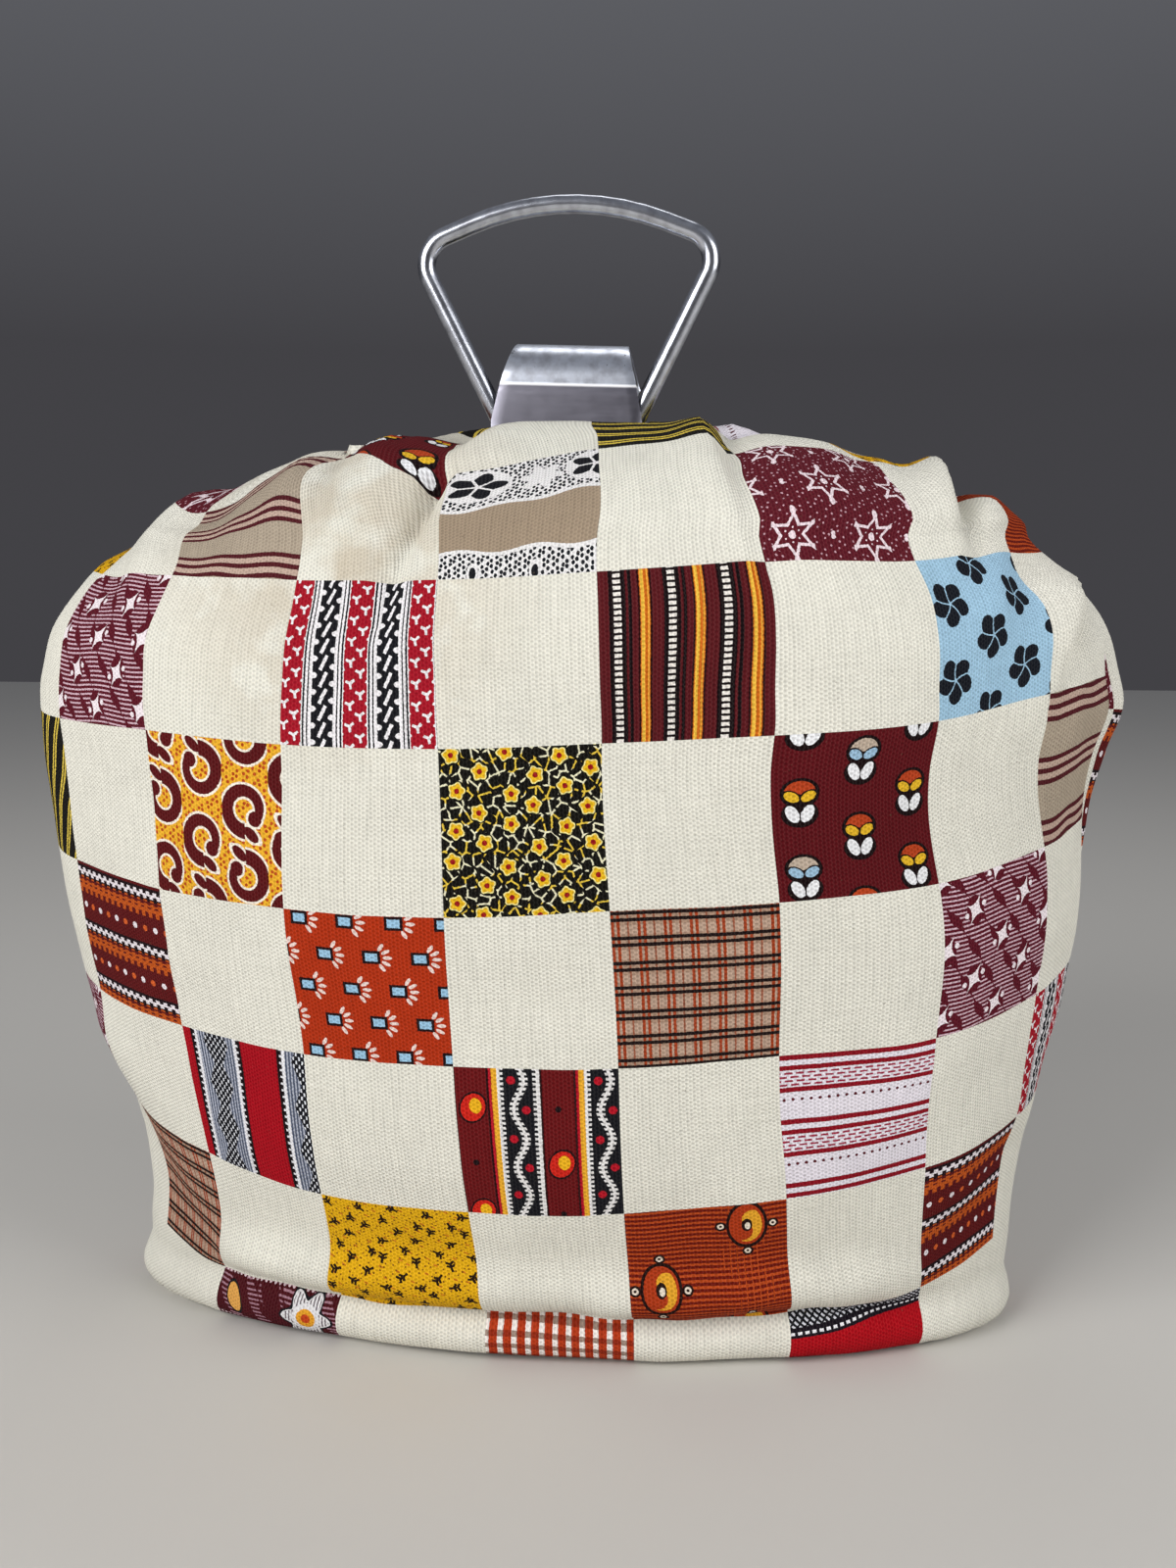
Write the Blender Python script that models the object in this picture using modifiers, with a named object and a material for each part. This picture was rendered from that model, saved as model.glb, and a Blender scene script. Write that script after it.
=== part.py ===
"""Padded tea cosy with a steel clip and a wire handle, as solids at real size.

Blender 4.5, metres, +Z up. The origin is the middle of the base on the table, +X is the object's
right as seen from the front and -Y points to the viewer. Run it with
blender --background --python part.py, or from the text editor.

The cosy is two padded cloth halves, front and back, that meet along the sides and the top with
a hair's gap. At the top they leave a slot, which the clip and the handle come out of.
"""

import math

import bmesh
import bpy
from mathutils import Vector

MM = 0.001
GAP = 0.3 * MM  # left between pieces that touch on the real object

# The cloth's outer shape, from the table to the top. At each height the level section is two
# halves of ellipses, which reach this far left and right of the middle (along X) and have the
# same half-depth (along Y), all in millimetres. The cosy leans a little to its right at the top.
SECTIONS = [
    # height, left_width, right_width, half_depth
    (-6, 140.5, 138.5, 47.0),
    (3, 141.8, 140.0, 49.0),
    (14, 141.5, 141.0, 51.0),
    (24, 139.8, 140.5, 54.0),
    (34, 138.5, 141.0, 57.5),
    (50, 140.5, 143.0, 63.5),
    (67, 146.0, 146.0, 68.0),
    (84, 151.8, 149.0, 70.5),
    (102, 156.5, 153.5, 72.5),
    (125, 161.5, 157.0, 75.0),
    (146, 164.0, 158.0, 77.0),
    (165, 165.5, 158.8, 78.2),
    (182, 166.0, 162.0, 79.0),
    (195, 166.0, 166.0, 79.4),
    (205, 165.0, 164.5, 79.5),
    (217, 162.5, 161.5, 79.0),
    (228, 154.5, 155.5, 77.0),
    (239, 144.5, 144.5, 73.5),
    (245, 137.0, 138.5, 70.5),
    (250, 129.0, 134.5, 67.0),
    (257, 114.0, 122.5, 60.5),
    (263.5, 98.0, 108.0, 52.0),
    (268.5, 82.5, 95.5, 43.5),
    (272.5, 67.0, 80.5, 35.0),
    (275.5, 52.5, 63.5, 26.5),
    (278, 37.0, 44.0, 17.0),
    (279.3, 25.0, 28.0, 10.0),
    (280, 14.0, 12.0, 4.0),
]
ROW_HEIGHTS = [
    -6, 1, 3, 8, 12, 14.5, 17, 19.5, 22, 27, 35, 46, 58, 72, 87, 102, 117, 132, 147, 161, 174,
    186, 197, 207, 216, 224, 231, 238, 244, 250, 255, 260, 264.5, 268.5, 272, 275, 277.3, 279,
    280,
]
AROUND = 120  # faces round the whole outer face
HOLLOW_HEIGHTS = [
    -8, 30, 60, 90, 120, 150, 175, 195, 208, 218, 226, 233, 240, 246, 251, 255, 259, 262.5, 265.5,
    268, 270, 271.5,
]
HOLLOW_AROUND = 64
WELD = 0.01 * MM  # points closer than this are one
WALL = 8.0 * MM  # canvas and wadding together
ROOF_START = 190.0 * MM  # from here up the wall's thickness turns from level to upright
ROOF_FULL = 262.0 * MM

HEM_CREASE_HEIGHT = 17.0 * MM  # the turned-up hem is stitched here
HEM_CREASE_DEPTH = 2.2 * MM
HEM_CREASE_WIDTH = 2.6 * MM
HEM_FOOT = 3.0 * MM  # the hem's lower edge is rounded over this height

# Folds of the front, as straight lines seen from the front, in millimetres: from (x0, z0) to
# (x1, z1), this wide on each side and this far out (a ridge) or in (a trough) at (x0, z0).
FRONT_FOLDS = [
    # x0, z0, x1, z1, width_left, width_right, rise
    (-58, 264, -62, 236, 8.0, 4.0, 3.4),  # ridge of the pleat left of the clip
    (-42, 272, -54, 236, 4.0, 5.5, -4.2),  # its valley
    (-30, 268, -34, 244, 4.0, 7.0, 1.6),
    (-74, 268, -80, 240, 6.0, 5.0, -2.2),
    (-92, 257, -98, 232, 7.0, 5.0, 2.2),
    (45, 274, 61, 243, 7.0, 3.0, 2.6),  # knife pleat right of the clip
    (53, 276, 68, 238, 2.6, 7.0, -3.4),
    (-112, 258, -122, 232, 6.0, 8.0, 2.6),  # left shoulder
    (-104, 262, -114, 236, 4.0, 6.0, -2.4),
    (-136, 246, -126, 210, 7.0, 9.0, -2.8),
    (104, 272, 119, 246, 7.0, 3.0, 4.6),  # pinch on the right shoulder
    (112, 262, 122, 236, 3.5, 7.0, -5.0),
    (86, 270, 92, 246, 6.0, 6.0, -1.8),
    (146, 238, 141, 196, 6.0, 5.0, 3.2),  # fold down the right side
    (137, 228, 127, 205, 8.0, 8.0, -3.2),
    (155, 212, 148, 120, 5.0, 8.0, -2.4),
    (-154, 200, -149, 120, 8.0, 8.0, 1.6),  # slack down the left side
    (-148, 78, -114, 28, 7.0, 9.0, -3.0),  # drag line to the left corner
    (-139, 92, -102, 40, 9.0, 9.0, 2.0),
    (136, 60, 118, 24, 9.0, 9.0, -2.2),
    (-98, 27, 18, 24, 7.0, 7.0, 2.4),  # cloth bagging over the hem
    (18, 24, 120, 27, 7.0, 7.0, 2.4),
]
# The back can't be seen in the photo: a few plain folds of the same size.
BACK_FOLDS = [
    (-62, 277, -46, 238, 7.0, 6.0, 3.0),
    (-50, 275, -36, 236, 5.0, 6.0, -2.8),
    (50, 277, 64, 240, 6.0, 7.0, 3.0),
    (116, 260, 126, 232, 7.0, 7.0, -2.6),
    (-126, 256, -138, 226, 7.0, 7.0, -2.4),
    (138, 70, 114, 28, 8.0, 8.0, -2.2),
    (-102, 27, 98, 26, 7.0, 7.0, 2.0),
]
FOLD_FADES = 0.75  # of a fold's rise is gone at its far end
SEAM_FLAT = 0.33  # folds fade out where the cosine of the angle falls below this, at the seam
TURN_STEP = 0.002  # radians, for the direction along the cloth

STRIP_THICK = 1.6 * MM  # sheet steel of the clip
STRIP_ROLL = 12.6 * MM  # outer radius of the bend at the clip's top
STRIP_TOP = 302.5 * MM
LEG_DEPTH = 14.0 * MM  # from the middle to the outer face of a leg, in the slot
# One side of the clip from the middle of its bend down to the foot inside the cosy.
STRIP_LEGS = [
    # depth (along Y), height, width, in millimetres, on the strip's outer face
    (12.6, 289.9, 40.5),
    (13.8, 286.5, 42.0),
    (LEG_DEPTH / MM, 279.0, 45.0),
    (LEG_DEPTH / MM, 268.0, 45.0),
    (16.0, 262.5, 45.0),
    (21.5, 258.5, 45.0),
    (31.0, 253.5, 45.0),
]
STRIP_TOP_WIDTH = 33.6 * MM
ROLL_STEPS = 10  # faces round a quarter turn of the bend

WIRE_RADIUS = 2.75 * MM
# Corners of the wire loop's centreline before they are rounded, in millimetres.
WIRE_CORNERS = [
    # x, z, corner_radius
    (13.6, 266.0, 5.0),
    (45.5, 329.3, 9.0),
    (0.0, 347.0, 79.0),
    (-45.5, 329.3, 9.0),
    (-13.6, 266.0, 5.0),
]
WIRE_ARC_STEP = math.radians(12)
WIRE_RESOLUTION = 2  # 12 faces round the wire
WIRE_FOOT_Z = 266.0 * MM

STEEL_X = 1.0 * MM  # the clip and the handle stand this far right of the middle
CLIP_LEAN = math.radians(2.0)  # the clip's right side is a little lower
CLIP_PIVOT_Z = 280.0 * MM
SLOT_HALF_WIDTH = 24.4 * MM  # the wire's arms pass here
SLOT_HALF_DEPTH = LEG_DEPTH + GAP  # the clip's legs pass here
SLOT_LOW = 240.0 * MM  # the cutter for the slot reaches from inside the hollow
SIDE_REACH = (300.0 * MM, 200.0 * MM, 300.0 * MM)  # the boxes that part front and back, past the cloth
EDGE_BREAK = 0.35 * MM  # bevel on the strip's edges
EDGE_ANGLE = math.radians(60)

CANVAS_COLOUR = (0.68, 0.62, 0.46)
STEEL_COLOUR = (0.56, 0.56, 0.58)


def clear_scene():
    for old in list(bpy.data.objects):
        bpy.data.objects.remove(old)


def new_collection(name):
    made = bpy.data.collections.new(name)
    bpy.context.scene.collection.children.link(made)
    return made


def plain_material(name, colour, roughness, metallic):
    material = bpy.data.materials.new(name)
    material.use_nodes = True
    shader = material.node_tree.nodes["Principled BSDF"]
    shader.inputs["Base Color"].default_value = (*colour, 1.0)
    shader.inputs["Roughness"].default_value = roughness
    shader.inputs["Metallic"].default_value = metallic
    return material


def add_object(name, mesh, collection, material=None):
    made = bpy.data.objects.new(name, mesh)
    collection.objects.link(made)
    if material:
        mesh.materials.append(material)
    return made


def smooth_step(t):
    t = min(1.0, max(0.0, t))
    return t * t * (3.0 - 2.0 * t)


def section_at(height):
    """Left width, right width and half-depth at a height, along a smooth curve in SECTIONS."""
    mm = height / MM
    last = len(SECTIONS) - 1
    k = 0
    while k < last - 1 and mm > SECTIONS[k + 1][0]:
        k += 1
    low, high = SECTIONS[k], SECTIONS[k + 1]
    before, after = SECTIONS[max(k - 1, 0)], SECTIONS[min(k + 2, last)]
    span = high[0] - low[0]
    t = min(1.0, max(0.0, (mm - low[0]) / span))
    sizes = []
    for column in (1, 2, 3):
        slope_low = (high[column] - before[column]) / (high[0] - before[0]) * span
        slope_high = (after[column] - low[column]) / (after[0] - low[0]) * span
        size = (
            (2 * t**3 - 3 * t**2 + 1) * low[column]
            + (t**3 - 2 * t**2 + t) * slope_low
            + (3 * t**2 - 2 * t**3) * high[column]
            + (t**3 - t**2) * slope_high
        )
        sizes.append(size * MM)
    return sizes


def on_section(angle, height, section):
    """A place on a level section. The angle runs round from the front's middle to the right."""
    left_width, right_width, half_depth = section
    width = right_width if math.sin(angle) > 0 else left_width
    return Vector((width * math.sin(angle), -half_depth * math.cos(angle), height))


def smooth_surface(angle, height):
    """The cloth's outer face without folds."""
    return on_section(angle, height, section_at(height))


def hollow_point(angle, height):
    """The hollow's face: a wall's thickness inside the sides and below the roof."""
    roof = smooth_step((height - ROOF_START) / (ROOF_FULL - ROOF_START))
    section = [size - WALL * (1.0 - roof) for size in section_at(height + WALL * roof)]
    return on_section(angle, height, section)


def fold_rise(x, z, folds):
    """How far the folds push the cloth out at a place seen from the front."""
    total = 0.0
    for x0, z0, x1, z1, width_left, width_right, rise in folds:
        along = Vector((x1 - x0, z1 - z0))
        away = Vector((x / MM - x0, z / MM - z0))
        t = min(1.0, max(0.0, away.dot(along) / along.length_squared))
        gap = away - t * along
        on_left = gap.x * along.y - gap.y * along.x > 0
        width = width_left if on_left else width_right
        strength = 1.0 - FOLD_FADES * smooth_step(t)
        total += rise * strength * math.exp(-((gap.length / width) ** 2))
    return total * MM


def hem_rise(height):
    """The stitched line above the hem, and the hem's rounded foot."""
    away = (height - HEM_CREASE_HEIGHT) / HEM_CREASE_WIDTH
    crease = -HEM_CREASE_DEPTH * math.exp(-away * away)
    foot = -HEM_FOOT * smooth_step((HEM_FOOT - height) / HEM_FOOT)
    return crease + foot


def cloth_point(angle, height):
    """A place on the cloth's outer face, with its folds."""
    point = smooth_surface(angle, height)
    across = smooth_surface(angle + TURN_STEP, height) - smooth_surface(angle - TURN_STEP, height)
    low, high = max(height - MM, SECTIONS[0][0] * MM), min(height + MM, SECTIONS[-1][0] * MM)
    up = smooth_surface(angle, high) - smooth_surface(angle, low)
    outwards = across.cross(up).normalized()
    folds = FRONT_FOLDS if math.cos(angle) > 0 else BACK_FOLDS
    off_seam = smooth_step(abs(math.cos(angle)) / SEAM_FLAT)
    return point + outwards * (fold_rise(point.x, point.z, folds) * off_seam + hem_rise(height))


def round_body(name, place, heights, around):
    """A closed mesh whose level rings lie where place(angle, height) says."""
    bm = bmesh.new()
    rows = len(heights)
    bmesh.ops.create_grid(bm, x_segments=around, y_segments=rows - 1, size=0.5)
    for vertex in bm.verts:
        turn = round((vertex.co.x + 0.5) * around) % around
        row = round((vertex.co.y + 0.5) * (rows - 1))
        vertex.co = place(2.0 * math.pi * turn / around, heights[row] * MM)
    bmesh.ops.remove_doubles(bm, verts=bm.verts, dist=WELD)
    bmesh.ops.holes_fill(bm, edges=bm.edges, sides=0)
    bmesh.ops.recalc_face_normals(bm, faces=bm.faces)
    mesh = bpy.data.meshes.new(name)
    bm.to_mesh(mesh)
    bm.free()
    return mesh


def cloth_half(name, mesh, cuts, collection, material):
    """One half of the cosy: the whole outer form, cut at the seam, hollowed and slotted."""
    half = add_object(name, mesh, collection, material)
    for cutter, operation in cuts:
        cut = half.modifiers.new("cut_" + cutter.name, "BOOLEAN")
        cut.operation = operation
        cut.solver = "EXACT"
        cut.object = cutter
    return half


def as_cutter(cutter):
    cutter.hide_render = True
    cutter.display_type = "WIRE"
    return cutter


def box_cutter(name, low, high, collection):
    bm = bmesh.new()
    bmesh.ops.create_cube(bm, size=1.0)
    size = Vector(high) - Vector(low)
    bmesh.ops.scale(bm, vec=size, verts=bm.verts)
    mesh = bpy.data.meshes.new(name)
    bm.to_mesh(mesh)
    bm.free()
    cutter = add_object(name, mesh, collection)
    cutter.location = (Vector(low) + Vector(high)) / 2
    return as_cutter(cutter)


def clip_profile():
    """The clip's outer face from one foot over the bend to the other: depth, height, width."""
    leg = [(depth * MM, height * MM, width * MM) for depth, height, width in STRIP_LEGS]
    roll = []
    bend_height = STRIP_TOP - STRIP_ROLL
    for k in range(1, 2 * ROLL_STEPS):
        turn = k * math.pi / (2 * ROLL_STEPS)
        width = STRIP_TOP_WIDTH + (leg[0][2] - STRIP_TOP_WIDTH) * (1.0 - math.sin(turn))
        roll.append((-STRIP_ROLL * math.cos(turn), bend_height + STRIP_ROLL * math.sin(turn), width))
    front = [(-depth, height, width) for depth, height, width in reversed(leg)]
    return front + roll + leg


def steel_clip(collection, material):
    """One strip bent over like an upside-down U, with feet that turn out under the cloth."""
    profile = clip_profile()
    bm = bmesh.new()
    bmesh.ops.create_grid(bm, x_segments=2, y_segments=len(profile) - 1, size=0.5)
    for vertex in bm.verts:
        depth, height, width = profile[round((vertex.co.y + 0.5) * (len(profile) - 1))]
        vertex.co = Vector((vertex.co.x * width, depth, height - CLIP_PIVOT_Z))
    mesh = bpy.data.meshes.new("steel_clip")
    bm.to_mesh(mesh)
    bm.free()
    clip = add_object("steel_clip", mesh, collection, material)
    clip.location = (STEEL_X, 0.0, CLIP_PIVOT_Z)
    clip.rotation_euler = (0.0, CLIP_LEAN, 0.0)
    sheet = clip.modifiers.new("sheet_steel", "SOLIDIFY")
    sheet.thickness = STRIP_THICK
    sheet.offset = -1.0
    sheet.use_even_offset = True
    edge = clip.modifiers.new("edge", "BEVEL")
    edge.width = EDGE_BREAK
    edge.segments = 1
    edge.limit_method = "ANGLE"
    edge.angle_limit = EDGE_ANGLE
    return clip


def rounded_loop(corners):
    """Points of a closed line whose corners are arcs."""
    points = []
    count = len(corners)
    for k, (x, z, radius) in enumerate(corners):
        here = Vector((x, z))
        to_last = (Vector(corners[k - 1][:2]) - here).normalized()
        to_next = (Vector(corners[(k + 1) % count][:2]) - here).normalized()
        half_inside = to_last.angle(to_next) / 2
        middle = here + (to_last + to_next).normalized() * (radius / math.sin(half_inside))
        start = here + to_last * (radius / math.tan(half_inside)) - middle
        turn = math.pi - 2 * half_inside
        steps = max(2, math.ceil(turn / WIRE_ARC_STEP))
        for step in range(steps + 1):
            c, s = math.cos(turn * step / steps), math.sin(turn * step / steps)
            points.append(middle + Vector((start.x * c - start.y * s, start.x * s + start.y * c)))
    return points


def wire_handle(collection, material):
    """A closed loop of round wire that stands upright behind the clip's front leg."""
    line = bpy.data.curves.new("wire_handle", "CURVE")
    line.dimensions = "3D"
    line.bevel_depth = WIRE_RADIUS
    line.bevel_resolution = WIRE_RESOLUTION
    spline = line.splines.new("POLY")
    points = rounded_loop(WIRE_CORNERS)
    spline.points.add(len(points) - 1)
    for point, (x, z) in zip(spline.points, points):
        point.co = (x * MM, 0.0, z * MM - WIRE_FOOT_Z, 1.0)
    spline.use_cyclic_u = True
    handle = add_object("wire_handle", line, collection, material)
    behind_leg = -(LEG_DEPTH - STRIP_THICK - GAP - WIRE_RADIUS)
    handle.location = (STEEL_X, behind_leg, WIRE_FOOT_Z)
    return handle


def build():
    clear_scene()
    parts = new_collection("tea_cosy")
    cutters = new_collection("cutters")
    canvas = plain_material("printed_canvas", CANVAS_COLOUR, 0.9, 0.0)
    steel = plain_material("satin_steel", STEEL_COLOUR, 0.35, 1.0)

    wide, deep, high = SIDE_REACH
    slot_low = (STEEL_X - SLOT_HALF_WIDTH, -SLOT_HALF_DEPTH, SLOT_LOW)
    slot_high = (STEEL_X + SLOT_HALF_WIDTH, SLOT_HALF_DEPTH, high)
    slot = box_cutter("slot_cutter", slot_low, slot_high, cutters)
    front_side = box_cutter("front_side", (-wide, -deep, 0.0), (wide, -GAP / 2, high), cutters)
    back_side = box_cutter("back_side", (-wide, GAP / 2, 0.0), (wide, deep, high), cutters)
    hollow_mesh = round_body("hollow", hollow_point, HOLLOW_HEIGHTS, HOLLOW_AROUND)
    hollow = as_cutter(add_object("hollow", hollow_mesh, cutters))
    for name, side in (("panel_front", front_side), ("panel_back", back_side)):
        outer_mesh = round_body(name, cloth_point, ROW_HEIGHTS, AROUND)
        cuts = [(side, "INTERSECT"), (hollow, "DIFFERENCE"), (slot, "DIFFERENCE")]
        cloth_half(name, outer_mesh, cuts, parts, canvas)
    steel_clip(parts, steel)
    wire_handle(parts, steel)


build()
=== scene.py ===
# %% [markdown]
# # A padded tea cosy with a wire handle
# The cosy is a dome of padded canvas that stands over a teapot. Its cloth is printed with a
# checkerboard: every second square is bare cream canvas, and the others each hold another small
# repeat. A bent steel strip and a wire handle come out of a slot at the top. The solids of the
# part are loaded first, because every piece here takes its place from them.

# %% Load the frame
import functools
import math
import bmesh
import bpy
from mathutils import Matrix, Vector, noise


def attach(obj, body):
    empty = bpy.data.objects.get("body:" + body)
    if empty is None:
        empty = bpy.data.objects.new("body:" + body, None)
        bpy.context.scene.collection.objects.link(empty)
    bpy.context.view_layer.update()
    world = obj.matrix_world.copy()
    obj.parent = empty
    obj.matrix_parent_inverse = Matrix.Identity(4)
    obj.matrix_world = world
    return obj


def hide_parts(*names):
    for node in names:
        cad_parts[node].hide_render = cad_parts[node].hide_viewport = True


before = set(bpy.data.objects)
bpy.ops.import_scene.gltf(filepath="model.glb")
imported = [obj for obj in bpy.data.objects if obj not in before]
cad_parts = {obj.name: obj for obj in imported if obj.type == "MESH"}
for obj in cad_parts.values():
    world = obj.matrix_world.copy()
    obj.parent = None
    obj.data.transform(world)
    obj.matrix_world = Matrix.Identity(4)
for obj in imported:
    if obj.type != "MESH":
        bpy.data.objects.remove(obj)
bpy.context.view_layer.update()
MM = 0.001
print("solids:", sorted(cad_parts))

# %% [markdown]
# ## The camera
# The photo was taken from a little above the cosy's shoulders and close to it, so the nearer
# parts look larger. The camera's height, tilt and lens were worked out from how the printed
# squares shrink towards the sides.

# %% Camera
CAMERA_PLACE = (0.05, -0.456, 0.236)  # metres: a little right, close in front, near the top
LOOKS_DOWN, LOOKS_LEFT = 8.35, 5.5  # degrees
LENS = 33.75  # millimetres, for a sensor whose long side is 36 mm


def placed(name, data):
    """A new object in the scene for a camera, mesh, curve or light."""
    made = bpy.data.objects.new(name, data)
    bpy.context.scene.collection.objects.link(made)
    return made


camera = placed("camera", bpy.data.cameras.new("camera"))
camera.data.sensor_width = 36.0
camera.data.lens = LENS
camera.location = CAMERA_PLACE
camera.rotation_euler = (math.radians(90.0 - LOOKS_DOWN), 0.0, math.radians(LOOKS_LEFT))
bpy.context.scene.camera = camera
print("camera", tuple(camera.location))

# %% [markdown]
# ## The shape of the cloth
# At each height the cosy's level section is close to an ellipse, so two widths for each height
# say the whole form. The table holds them, and a smooth curve is read between its rows. The
# same sizes shape the solids, so the cloth lies where they are.

# %% Sections of the dome
SECTIONS = [
    # height, left_width, right_width, half_depth, in millimetres from the middle
    (-6, 140.5, 138.5, 47.0),
    (3, 141.8, 140.0, 49.0),
    (14, 141.5, 141.0, 51.0),
    (24, 139.8, 140.5, 54.0),
    (34, 138.5, 141.0, 57.5),
    (50, 140.5, 143.0, 63.5),
    (67, 146.0, 146.0, 68.0),
    (84, 151.8, 149.0, 70.5),
    (102, 156.5, 153.5, 72.5),
    (125, 161.5, 157.0, 75.0),
    (146, 164.0, 158.0, 77.0),
    (165, 165.5, 158.8, 78.2),
    (182, 166.0, 162.0, 79.0),
    (195, 166.0, 166.0, 79.4),
    (205, 165.0, 164.5, 79.5),
    (217, 162.5, 161.5, 79.0),
    (228, 154.5, 155.5, 77.0),
    (239, 144.5, 144.5, 73.5),
    (245, 137.0, 138.5, 70.5),
    (250, 129.0, 136.0, 67.0),
    (257, 114.0, 124.0, 60.5),
    (263.5, 98.0, 108.0, 52.0),
    (268.5, 82.5, 95.5, 43.5),
    (272.5, 67.0, 80.5, 35.0),
    (275.5, 52.5, 63.5, 26.5),
    (278, 37.0, 44.0, 17.0),
    (279.3, 25.0, 28.0, 10.0),
    (280, 14.0, 12.0, 4.0),
]


def read_table(rows, key, columns):
    """The given columns of a table at a key between its rows, along a smooth curve."""
    last = len(rows) - 1
    k = 0
    while k < last - 1 and key > rows[k + 1][0]:
        k += 1
    low, high = rows[k], rows[k + 1]
    before, after = rows[max(k - 1, 0)], rows[min(k + 2, last)]
    span = high[0] - low[0]
    t = min(1.0, max(0.0, (key - low[0]) / span))
    found = []
    for column in columns:
        slope_low = (high[column] - before[column]) / (high[0] - before[0]) * span
        slope_high = (after[column] - low[column]) / (after[0] - low[0]) * span
        found.append(
            (2 * t**3 - 3 * t**2 + 1) * low[column]
            + (t**3 - 2 * t**2 + t) * slope_low
            + (3 * t**2 - 2 * t**3) * high[column]
            + (t**3 - t**2) * slope_high
        )
    return found


left, right = (max(row[side] for row in SECTIONS) for side in (1, 2))
print("widest:", left + right, "mm")

# %% [markdown]
# ## Where the printed squares lie
# The print is a grid of 45 mm squares. On the standing cosy its rows sag in the middle and rise
# towards the side seams, and its columns draw together where the cloth is taken up in pleats at
# the shoulders. An even wrap would put the squares in the wrong places, so two tables say where
# the grid's crossings lie: the angle round the dome, and the height.

# %% Crossings of the grid
SQUARE = 45.0  # millimetres
CROSSING_ANGLES = [
    # row, then degrees round the dome from the front's middle at columns -1 to 8
    (-1.2, -178, -160, -140, -120, -95, 14, 95, 120, 140, 155),
    (-0.9, -165, -150, -135, -115, -80, 14, 84, 112, 132, 150),
    (-0.6, -148, -130, -112, -92, -44, 10, 66, 97, 115, 135),
    (-0.3, -127, -108, -88, -76, -27, 9, 46, 82, 98, 120),
    (0.0, -112, -88, -56, -57, -16, 8, 36, 68, 86, 106),
    (0.5, -103, -78, -50, -33, -12, 7, 27, 52, 75, 97),
    (1.0, -92, -69, -45, -26, -10, 6, 24, 45, 67, 90),
    (2.0, -88, -62, -43, -25, -9, 6, 22, 48, 67, 91),
    (3.0, -88, -62, -43, -26, -9, 7, 24, 46, 68, 91),
    (4.0, -88, -65, -44, -26, -9, 8, 25, 45, 64, 88),
    (5.0, -87, -65, -46, -28, -9, 9, 28, 48, 70, 92),
    (6.0, -90, -66, -49, -28, -8, 10, 30, 51, 71, 95),
    (7.0, -91, -67, -50, -28, -8, 10, 30, 52, 72, 96),
]
CROSSING_HEIGHTS = [
    # row, then millimetres above the table at columns -1 to 8
    (-1.2, 280, 280, 280, 280, 280, 280, 280, 280, 280, 280),
    (-0.9, 278, 278.6, 279.0, 279.0, 279.0, 279.2, 279.2, 279.2, 279.2, 279),
    (-0.6, 272, 274.0, 275.0, 276.0, 276.5, 277.0, 277.5, 277.0, 276.0, 274),
    (-0.3, 265, 267.0, 270.0, 272.0, 272.0, 273.7, 275.0, 274.0, 271.0, 268),
    (0.0, 256, 256, 253, 270, 262, 269, 271, 268, 263, 260),
    (0.5, 246, 246, 245, 252, 249, 256, 258, 257, 254, 251),
    (1.0, 235, 235, 234, 233, 233, 235, 238, 238, 241, 241),
    (2.0, 195, 192, 191, 189, 189, 191, 193, 196, 202, 206),
    (3.0, 152, 149, 145, 143, 143, 146, 148, 151, 158, 164),
    (4.0, 111, 107, 103, 100, 100, 101, 104, 106, 114, 120),
    (5.0, 77, 70, 62, 55, 54, 56, 60, 65, 73, 80),
    (6.0, 34, 27, 18, 15, 16, 15, 16, 23, 32, 38),
    (7.0, -11, -18, -27, -30, -29, -30, -29, -22, -13, -7),
]
print("crossings:", 10 * len(CROSSING_ANGLES))

# %% [markdown]
# ## From the print to the dome
# A place between the crossings is read along smooth curves, first down the table for its row
# and then along that row. Columns beyond the table go on in steps that grow a little, because
# the dome turns away there. The row lines are kept once made, since many points share them.

# %% From the print to the dome
COLUMNS = range(1, 11)  # the tables' columns that hold crossings
BEYOND = 2  # columns added beyond the tables on each side
STEP_GROWS = 1.1  # each of them is this much wider than the last


@functools.lru_cache(None)
def row_line(row):
    """Column, angle and height of each crossing along a row line, also beyond the tables."""
    angles = read_table(CROSSING_ANGLES, row, COLUMNS)
    heights = read_table(CROSSING_HEIGHTS, row, COLUMNS)
    line = list(zip(range(-1, len(angles) - 1), angles, heights))
    for _ in range(BEYOND):
        column, angle, height = line[0]
        before = (column - 1, angle + (angle - line[1][1]) * STEP_GROWS, height)
        column, angle, height = line[-1]
        after = (column + 1, angle + (angle - line[-2][1]) * STEP_GROWS, height)
        line = [before] + line + [after]
    return line


def unrolled(column, row):
    """A printed place as an angle round the dome, in radians, and a height, in millimetres."""
    angle, height = read_table(row_line(row), column, (1, 2))
    return math.radians(angle), height


print("front middle of the fourth row line:", [round(v, 3) for v in unrolled(3.5, 3.0)])

# %% [markdown]
# ## Folds
# Padded canvas is stiff, so it doesn't fall in many small folds. It makes a few broad pleats
# where the dome turns over at the top, pinches on both shoulders, and drag lines towards the
# lower corners. A cloth simulation would put folds of its own elsewhere, so each fold is a row
# of a table: a short straight ridge or trough, seen from the front, with a width on each side.

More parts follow.
